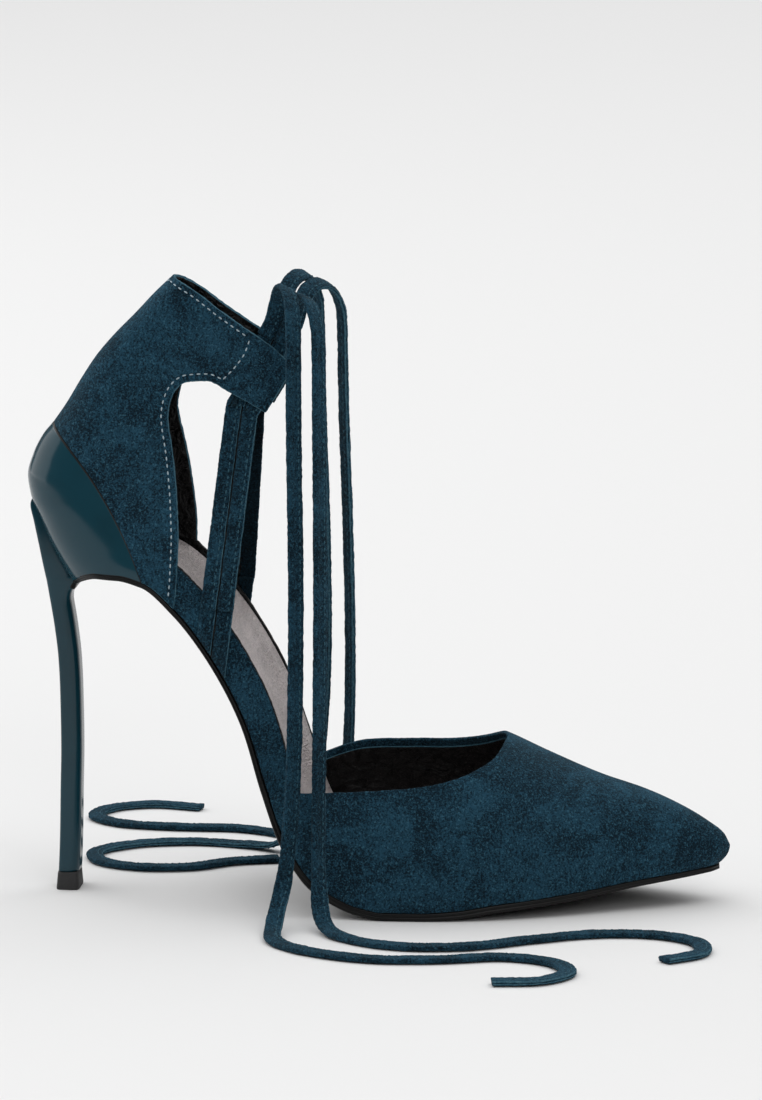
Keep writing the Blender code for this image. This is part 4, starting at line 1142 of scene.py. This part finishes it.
def bar_frames(side):
    """Path, flats and outward directions of a bar from the sole's waist up through its tunnel."""
    low, high, along, across = tunnel_frame()
    q = station_of(TIE_FOOT_X)
    normal = sole_normal(q)
    foot = feather(q) + normal * CLEARANCE
    lift = (low - foot) / np.linalg.norm(low - foot)
    edge = abs(sole_sides(q)[0 if side < 0 else 1])
    y_foot = side * (edge - BAND_STEP + CLEARANCE + STRIP_THICKNESS / 2)
    depth = TUNNEL_OUTER_WALL + TUNNEL_CLEARANCE + STRIP_THICKNESS / 2
    route = [(x, y_foot, z) for x, z in (foot + lift * rise * BAND_HEIGHT for rise in BAR_CLIMBS)]
    places = [low - along * run for run in BAR_APPROACH]
    places += [low, (low + high) / 2, high, high + along * TIE_END_RUN]
    route += [(x, side * (back_half(x, z) - depth), z) for x, z in places]
    half_width = STRIP_WIDTH + CLEARANCE / 2
    sole_run = np.array([normal[1], -normal[0]])
    slant = 1 / abs(sole_run[0] * lift[1] - sole_run[1] * lift[0])
    path = [np.array((foot[0], y_foot, foot[1]))]
    flats = [np.array([sole_run[0], 0.0, sole_run[1]]) * slant]
    outwards = [np.array((0.0, float(side), 0.0))]
    fine = smooth_path(route, BAR_POINTS)
    for place, tangent in zip(fine, tangents_of(fine)):
        share = float(np.clip((place[2] - low[1] + BAR_TURN) / BAR_TURN, 0, 1))
        ahead, behind = place[[0, 2]] + across * half_width, place[[0, 2]] - across * half_width
        turn = side * (back_half(*ahead) - back_half(*behind)) / (2 * half_width)
        wanted = np.array([1.0, 0.0, 0.0]) * (1 - share) + np.array([across[0], turn, across[1]]) * share
        flat = wanted - tangent * (wanted @ tangent)
        flat /= np.linalg.norm(flat)
        outward = np.cross(tangent, flat)
        outward *= 1 if outward[1] * side > 0 else -1
        path.append(place)
        flats.append(flat)
        outwards.append(outward)
    return path, flats, outwards


class SHOE_OT_bars(bpy.types.Operator):
    """Makes the two strips on each side that climb from the waist into the tab"""
    bl_idname = "shoe.bars"
    bl_label = "Tie bars"

    def execute(self, context):
        names = ("tie_suede", "suede_edge", "tie_thread", "lining", "tie_inside_painted_shade")
        materials = [paint(name) for name in names]
        for side, word in ((-1, "outer"), (1, "inner")):
            path, flats, outwards = bar_frames(side)
            parts = []
            for seed, step in enumerate((-1, 1)):
                own = np.array(path) + np.array(flats) * step * STRIP_WIDTH / 2
                width = STRIP_WIDTH * BAR_STRIP_SHARE
                strip = strip_mesh(own, flats, outwards, BAR_SEED + seed + side, width)
                parts.append((strip[0], strip[1], self.with_shaded_inside(strip[2])))
                parts.append(tie_stitch_row(own[1:], flats[1:], outwards[1:], 1))
            # A thin strip in the black lining behind the gap between the two strips: painted shade for the
            # dark groove between them.
            behind = np.array(path) - np.array(outwards) * STRIP_THICKNESS * SHADE_BACKING_DEPTH
            thin = STRIP_THICKNESS * SHADE_BACKING_SHARE
            shade_backing = strip_mesh(behind, flats, outwards, SHADE_BACKING_SEED, STRIP_WIDTH, thin)
            parts.append((shade_backing[0], shade_backing[1], [3] * len(shade_backing[2])))
            piece("tie_pair_" + word, joined(parts), materials, ["tie_bar_" + word])
        return {"FINISHED"}

    def with_shaded_inside(self, kinds):
        """The strip's material numbers with its face towards the foot in the much darker copy of the suede,
        painted shade.
        """
        size = len(STRIP_OUTLINE)
        return [4 if n % size in INSIDE_SPANS else kind for n, kind in enumerate(kinds)]


# Sole pieces

def bed_normal(q):
    normal = sole_normal(q)
    lean = max(normal[0], -BED_LEAN)
    return np.array([lean, math.sqrt(1 - lean ** 2)])


def footbed_sides(q):
    outer, inner = sole_sides(q)
    share = float(sole_column("x", q))
    step_in = spline((0.0, *INSET_CHANGE, 1.0), (FOOTBED_INSET_SEAT,) * 2 + (FOOTBED_INSET,) * 2, share)
    if share < SEAT_END:
        x, z = feather(q)
        half = max(back_half(x - step_in, z) - step_in, BED_END_HALF)
        return -half, half
    return outer + step_in, inner - step_in


def bed_ring(q, low, high, across, edge_round=0.0, ridge=0.0):
    """A ring round the footbed or the sock, which dips in the middle and rolls over at its edges."""
    line, normal = feather(q), bed_normal(q)
    outer, inner = footbed_sides(q)
    edge = float(sole_column("board", q)) * BAND_HEIGHT
    top, bottom = [], []
    for share in (1 - np.cos(np.linspace(0, math.pi, across))) / 2:
        y = outer + (inner - outer) * share
        dip = edge * DISH_SHARE * (1 - (2 * share - 1) ** 2)
        from_edge = min(share, 1 - share) * (inner - outer)
        fall = edge_round * max(0.0, 1 - from_edge / max(edge_round, 1e-9)) ** 2 if edge_round else 0.0
        swell = ridge * math.exp(-((share - RIDGE_SHARE) / RIDGE_WIDTH) ** 2)
        for rows, height, dish in ((bottom, low, dip if low else 0.0), (top, high - fall + swell, dip)):
            x, z = line + normal * (height - dish)
            rows.append((x, y, z))
    return top + bottom[::-1]


class SHOE_OT_sole(bpy.types.Operator):
    """Makes the outsole with its painted edge, the board and the leather sock"""
    bl_idname = "shoe.sole"
    bl_label = "Sole and sock"

    def execute(self, context):
        rings = []
        for q in np.linspace(0, LAST_STATION, SOLE_RINGS):
            line, normal, deep = sole_line(q), sole_normal(q), layer(q)
            outer, inner = sole_sides(q)
            ring = []
            for side, edge in ((-1, outer), (1, inner)):
                rows = SOLE_EDGE if side == 1 else SOLE_EDGE[::-1]
                for share, reach in rows:
                    x, z = line + normal * deep * share
                    ring.append((x, edge + side * reach, max(z, 0.0)))
            rings.append(ring)
        piece("outsole_finished", tube(rings), [paint("outsole")], ["outsole"])
        start, end = station_of(BED_SPAN[0]), station_of(BED_SPAN[1])
        board_rings, sock_rings = [], []
        for q in start + (end - start) * np.linspace(0, 1, BED_RINGS) ** BED_GATHER:
            board = float(sole_column("board", q)) * BAND_HEIGHT
            board_rings.append(bed_ring(q, 0.0, board, BOARD_ACROSS))
            edge = board + CLEARANCE
            ridge = float(np.interp(sole_column("x", q), *np.array(RIDGE_HEIGHTS).T))
            sock_rings.append(bed_ring(q, edge, edge + SOCK_THICKNESS, SOCK_ACROSS, SOCK_ROUND, ridge))
        piece("insole_board", tube(board_rings), [paint("board")], ["footbed"])
        piece("sock_leather", tube(sock_rings), [paint("sock")], ["sock"])
        return {"FINISHED"}


# Quarter

def edge_line(end, first, last, count):
    """The quarter's edge in the side view between two folds: end 0 runs along the top, 1 along the front."""
    return np.array([fold_ends(u)[end] for u in np.linspace(first, last, count)])


def stitch_lines(sizes):
    """Side view lines of the quarter's stitches: up the front edge, round the keyhole, up the tunnel's seam
    and back along the top edge."""
    inset = sizes.stitch_inset
    seam = curve_through(TUNNEL_SEAM, SEAM_POINTS)
    front = offset_line(edge_line(1, *FRONT_STITCHES), inset)
    front = front[front[:, 0] < seam[-1][0] + SEAM_OVERLAP]
    top = offset_line(edge_line(0, *TOP_STITCHES), -inset * TOP_INSET_SHARE)
    top = top[top[:, 0] < seam[0][0]]
    lead_z = top[0][1] - STITCH_LEAD[1]
    lead = (float(back_line(lead_z)) + STITCH_LEAD[0], lead_z)
    return [front, seam[::-1], np.vstack([lead, top])]


class SHOE_OT_quarter(bpy.types.Operator):
    """Makes the high back of the upper with its tabs, tunnels, lining and stitches"""
    bl_idname = "shoe.quarter"
    bl_label = "Quarter"

    def execute(self, context):
        sizes = context.scene.shoe_sizes
        suede, edge, lining = paint("suede"), paint("suede_edge"), paint("lining")
        under = list(np.linspace(QUARTER_START_FOLD, CUP_FOLD, QUARTER_UNDER))
        above = list(np.linspace(CUP_FOLD + FOLD_STEP, TOP_CORNER_FOLD, QUARTER_SIDE))
        above += list(np.linspace(TOP_CORNER_FOLD, LAST_FOLD, QUARTER_TOP))[1:]
        insets = [CUP_WALL + CLEARANCE] * len(under) + [0.0] * len(above)
        sheet = welded(*back_sheet(under + above, QUARTER_ACROSS, insets))
        shell = thick_sheet(*sheet, sizes.suede_thickness)
        piece("quarter_suede", shell, [suede, edge, lining], ["upper"])
        inner_insets = [inset + sizes.suede_thickness for inset in insets]
        sheet = welded(*back_sheet(under + above, QUARTER_LINING_ACROSS, inner_insets))
        shell = thick_sheet(*sheet, sizes.lining_thickness)
        piece("quarter_lining", shell, [lining, edge, lining])
        rows = []
        for side in (-1, 1):
            for line in stitch_lines(sizes):
                fine = resampled(line, max(int(len(line) * 2), 60))
                rows.append(stitches(*quarter_surface(fine, side), sizes))
        piece("quarter_stitches", joined(rows), [paint("thread")])
        self.tunnels()
        return {"FINISHED"}

    def tunnels(self):
        """The tab's folded flap, which holds the ties against the tab."""
        low, high, along, across = tunnel_frame()
        slot = STRIP_THICKNESS + 2 * TUNNEL_CLEARANCE
        deep = TUNNEL_OUTER_WALL + slot
        half_width = STRIP_WIDTH + CLEARANCE / 2 + TUNNEL_SIDE_WALL
        start, end = low + along * FLAP_SHORTER[0], high - along * FLAP_SHORTER[1]
        profile = (
            (-1.30, UPPER_WALL - 0.0002), (-1.12, UPPER_WALL + 0.0003), (-0.98, deep - 0.0004),
            (-0.85, deep), (0.0, deep), (0.74, deep), (0.80, deep - 0.0005), (0.85, deep - 0.0014),
            (0.87, deep - 0.0022),
        )
        materials = [paint("lining"), paint("suede_edge"), paint("suede")]
        for side, word in ((-1, "outer"), (1, "inner")):
            points, faces = [], []
            for share in np.linspace(0, 1, FLAP_ROWS):
                centre = start + (end - start) * share
                for offset, depth in profile:
                    x, z = centre + across * half_width * offset
                    points.append((x, side * (float(back_half(x, z)) - depth), z))
            size = len(profile)
            for i in range(FLAP_ROWS - 1):
                for j in range(size - 1):
                    a = i * size + j
                    face = [a, a + 1, a + size + 1, a + size]
                    faces.append(face if side == -1 else face[::-1])
            flap = thick_sheet(np.array(points), faces, FLAP_WALL)
            piece("tunnel_flap_" + word, flap, materials)


# Vamp

class SHOE_OT_vamp(bpy.types.Operator):
    """Makes the pointed vamp with its lining, and the covered bands along the waist"""
    bl_idname = "shoe.vamp"
    bl_label = "Vamp and waist bands"

    def execute(self, context):
        sizes = context.scene.shoe_sizes
        suede, edge, lining = paint("suede"), paint("suede_edge"), paint("lining")
        shell = self.shell(0.0, 0.0, sizes.suede_thickness, VAMP_ROWS)
        piece("vamp_suede", shell, [suede, suede, suede])
        inset = sizes.suede_thickness + VAMP_LINING_GAP
        shell = self.shell(sizes.lining_drop, inset, sizes.lining_thickness, VAMP_LINING_ROWS)
        piece("vamp_lining", shell, [lining, edge, lining])
        stations = np.linspace(station_of(BAND_SPAN[0]), station_of(BAND_SPAN[1]), BAND_STATIONS)
        climbs = []
        for q in stations:
            foot, ridge = fore_section(q)
            reach = BAND_HEIGHT / np.linalg.norm(ridge - foot)
            climbs.append([reach * j / BAND_ROWS for j in range(BAND_ROWS + 1)])
        points, faces = fore_sheet(stations, {-1: climbs, 1: climbs}, False)
        normals = poly_normals(points, faces)
        shell = thick_sheet(points - normals * BAND_STEP, faces, BAND_WALL)
        piece("waist_bands", shell, [suede, lining, lining])
        return {"FINISHED"}

    def shell(self, drop, inset, thickness, rows):
        """One layer of the vamp, this much under the topline and inside the outer surface."""
        throat = station_of(THROAT_FOOT)
        gathered = (1 - np.linspace(0, 1, OPEN_STATIONS)) ** VAMP_GATHER
        stations = list(throat - (throat - vamp_start()) * gathered)
        stations += list(np.linspace(throat, LAST_STATION, CLOSED_STATIONS))[1:]
        climbs = {-1: [], 1: []}
        for side, q in itertools.product(climbs, stations):
            top = math.asin(topline_climb(q, side, drop) ** (FORE_ROUNDNESS / 2))
            climbs[side].append([math.sin(top * j / rows) ** (2 / FORE_ROUNDNESS) for j in range(rows + 1)])
        points, faces = welded(*fore_sheet(stations, climbs, True))
        if inset:
            points = points - poly_normals(points, faces) * inset
        return thick_sheet(points, faces, thickness)


# Heel

def rounded(x_back, x_front, half_width, z, taper=0.0):
    """A ring of the heel: a rectangle with round corners, narrower at its front by the taper."""
    ring = []
    for k in range(RING_CORNERS):
        angle = 2 * math.pi * (k + 0.5) / RING_CORNERS
        c, s = math.cos(angle), math.sin(angle)
        reach = (abs(c) ** BLADE_SQUARENESS + abs(s) ** BLADE_SQUARENESS) ** (-1 / BLADE_SQUARENESS)
        wide = half_width * (1 - taper * max(0.0, reach * c) ** 2)
        ring.append(((x_back + x_front) / 2 + (x_front - x_back) / 2 * reach * c, wide * reach * s, z))
    return ring


def blade_at(z):
    """Back, front and half width of the blade at a height, with its rounded neck under the fin."""
    heights = column(BLADE, BLADE_COLUMNS, "z") * SEAT_HEIGHT
    back = x_at(spline(heights, column(BLADE, BLADE_COLUMNS, "back"), z))
    half = spline(heights, column(BLADE, BLADE_COLUMNS, "width"), z) * BLADE_WIDTH / 2
    above = max(0.0, z - heights[-1]) / (z_at(FIN[0][0]) - heights[-1])
    rise = max(0.0, 1 - (z_at(FIN[0][0]) - z) / NECK_HEIGHT)
    front = float(back) + BLADE_DEPTH + NECK_REACH * rise ** NECK_CURVE
    return float(back) - (BLADE[-1][1] - FIN[0][1]) * LENGTH * above, front, float(half)


def cup_fall(y, z):
    """How far the cup's surface lies ahead of its back line, this far from the middle."""
    half = float(back_half(LENGTH, z))
    return BACK_FULLNESS * half * (1 - math.sqrt(1 - min(abs(y) / half, 1.0) ** 2))


class SHOE_OT_heel(bpy.types.Operator):
    """Makes the patent cup, the thin blade with its fin, and the wearing tip"""
    bl_idname = "shoe.heel"
    bl_label = "Heel"

    def execute(self, context):
        self.cup()
        rings = []
        for z in np.linspace(TIP_HEIGHT + CLEARANCE, z_at(FIN[0][0]), BLADE_RINGS):
            back, front, half = blade_at(z)
            under_neck = min(1.0, (z_at(FIN[0][0]) - z) / NECK_HEIGHT)
            rings.append(rounded(back, front, half, z, taper=BLADE_TAPER * under_neck))
        rises = column(FIN, FIN_COLUMNS, "rise")
        for rise in np.linspace(rises[0] + FIN_START, rises[-1], FIN_RINGS):
            z = z_at(rise)
            start = float(x_at(spline(rises, column(FIN, FIN_COLUMNS, "back"), rise)))
            end = float(back_line(z)) + CUP_WALL * FIN_BITE
            width = float(spline(rises, column(FIN, FIN_COLUMNS, "width"), rise))
            ring = rounded(start, end, width * BLADE_WIDTH / 2, z)
            rings.append([(x + cup_fall(y, z) * (x - start) / (end - start), y, z) for x, y, z in ring])
        piece("heel_blade", tube(rings), [paint("patent")])
        back, front, half = blade_at(0.0)
        rings = []
        for share, flare in TIP_RINGS:
            grow = TIP_FLARE * flare
            rings.append(rounded(back - grow, front + grow, half + grow, TIP_HEIGHT * share))
        piece("heel_tip_rubber", tube(rings), [paint("tip")], ["heel_tip"])
        return {"FINISHED"}

    def cup(self):
        """The cup, its rim in the black outsole finish as painted shade for the dark seam lines along its
        edges, patent where the blade's neck meets it.
        """
        folds = list(np.linspace(0, CUP_FOLD - FOLD_STEP, CUP_FOLDS))
        sheet = welded(*back_sheet(folds, CUP_ACROSS, [0.0] * len(folds)))
        points, faces, kinds = thick_sheet(*sheet, CUP_WALL, CUP_ROLL, CUP_BULGE, 0.0)
        neck = x_at(BLADE[-1][1]) + BLADE_DEPTH + NECK_REACH
        for n, face in enumerate(faces):
            x, _, z = points[face].mean(axis=0)
            if kinds[n] == 1 and x < neck and z < SEAT_HEIGHT:
                kinds[n] = 0
        # The rim's faces in black: painted shade for the dark seam lines at the cup's edges.
        materials = [paint("patent"), paint("outsole"), paint("patent")]
        piece("heel_cup", (points, faces, kinds), materials, ["heel"])


# Stage

class SHOE_OT_stage(bpy.types.Operator):
    """Sets up the floor, the soft studio light and the camera of the photograph's view"""
    bl_idname = "shoe.stage"
    bl_label = "Stage"

    def execute(self, context):
        self.camera()
        self.floor()
        self.world()
        context.scene.view_settings.view_transform = "Standard"
        for name, (place, size, power) in LAMPS.items():
            lamp = bpy.data.lights.new(name, "AREA")
            lamp.size = size
            lamp.energy = power
            thing = placed(name, lamp)
            thing.location = place
            aim(thing, LAMPS_LOOK_AT)
        return {"FINISHED"}

    def camera(self):
        lens = bpy.data.cameras.new("camera")
        lens.lens = CAMERA_LENS
        lens.sensor_width = SENSOR
        lens.clip_end = 100.0
        camera = placed("camera", lens)
        turn, climb = math.radians(CAMERA_AZIMUTH), math.radians(CAMERA_ELEVATION)
        reach = (math.sin(turn) * math.cos(climb), -math.cos(turn) * math.cos(climb), math.sin(climb))
        camera.location = [c + CAMERA_DISTANCE * r for c, r in zip(LOOK_AT, reach)]
        aim(camera, LOOK_AT)
        bpy.context.scene.camera = camera

    def floor(self):
        mesh = bpy.data.meshes.new("floor")
        corners = [(x * FLOOR_REACH, y * FLOOR_REACH, 0) for x, y in ((-1, -1), (1, -1), (1, 1), (-1, 1))]
        mesh.from_pydata(corners, [], [(0, 1, 2, 3)])
        colour = rgb(bpy.context.scene.shoe_colours.floor)
        mesh.materials.append(Paint("floor").finish(colour, 0.95, specular_ior_level=0.0))
        placed("floor", mesh)

    def world(self):
        world = bpy.data.worlds.new("studio")
        bpy.context.scene.world = world
        world.use_nodes = True
        background = world.node_tree.nodes["Background"]
        background.inputs["Color"].default_value = (1.0, 1.0, 1.0, 1.0)
        background.inputs["Strength"].default_value = WORLD_STRENGTH


def aim(thing, target):
    """Turns a camera or a lamp to a point."""
    thing.rotation_euler = (Vector(target) - Vector(thing.location)).to_track_quat("-Z", "Y").to_euler()


class SHOE_PT_panel(bpy.types.Panel):
    bl_label = "Shoe"
    bl_idname = "SHOE_PT_panel"
    bl_space_type = "VIEW_3D"
    bl_region_type = "UI"
    bl_category = "Shoe"

    def draw(self, context):
        for operator in OPERATORS:
            self.layout.operator(operator.bl_idname)
        for group in (context.scene.shoe_sizes, context.scene.shoe_colours):
            box = self.layout.box()
            for name in group.__annotations__:
                box.prop(group, name)


OPERATORS = (
    SHOE_OT_stage, SHOE_OT_ties, SHOE_OT_bars, SHOE_OT_sole, SHOE_OT_quarter, SHOE_OT_vamp, SHOE_OT_heel,
)
CLASSES = (ShoeSizes, ShoeColours) + OPERATORS + (SHOE_PT_panel,)


def register():
    for each in CLASSES:
        bpy.utils.register_class(each)
    bpy.types.Scene.shoe_sizes = bpy.props.PointerProperty(type=ShoeSizes)
    bpy.types.Scene.shoe_colours = bpy.props.PointerProperty(type=ShoeColours)


def unregister():
    del bpy.types.Scene.shoe_sizes
    del bpy.types.Scene.shoe_colours
    for each in reversed(CLASSES):
        bpy.utils.unregister_class(each)


def main():
    register()
    for operator in OPERATORS:
        space, word = operator.bl_idname.split(".")
        getattr(getattr(bpy.ops, space), word)()


if __name__ == "__main__":
    main()
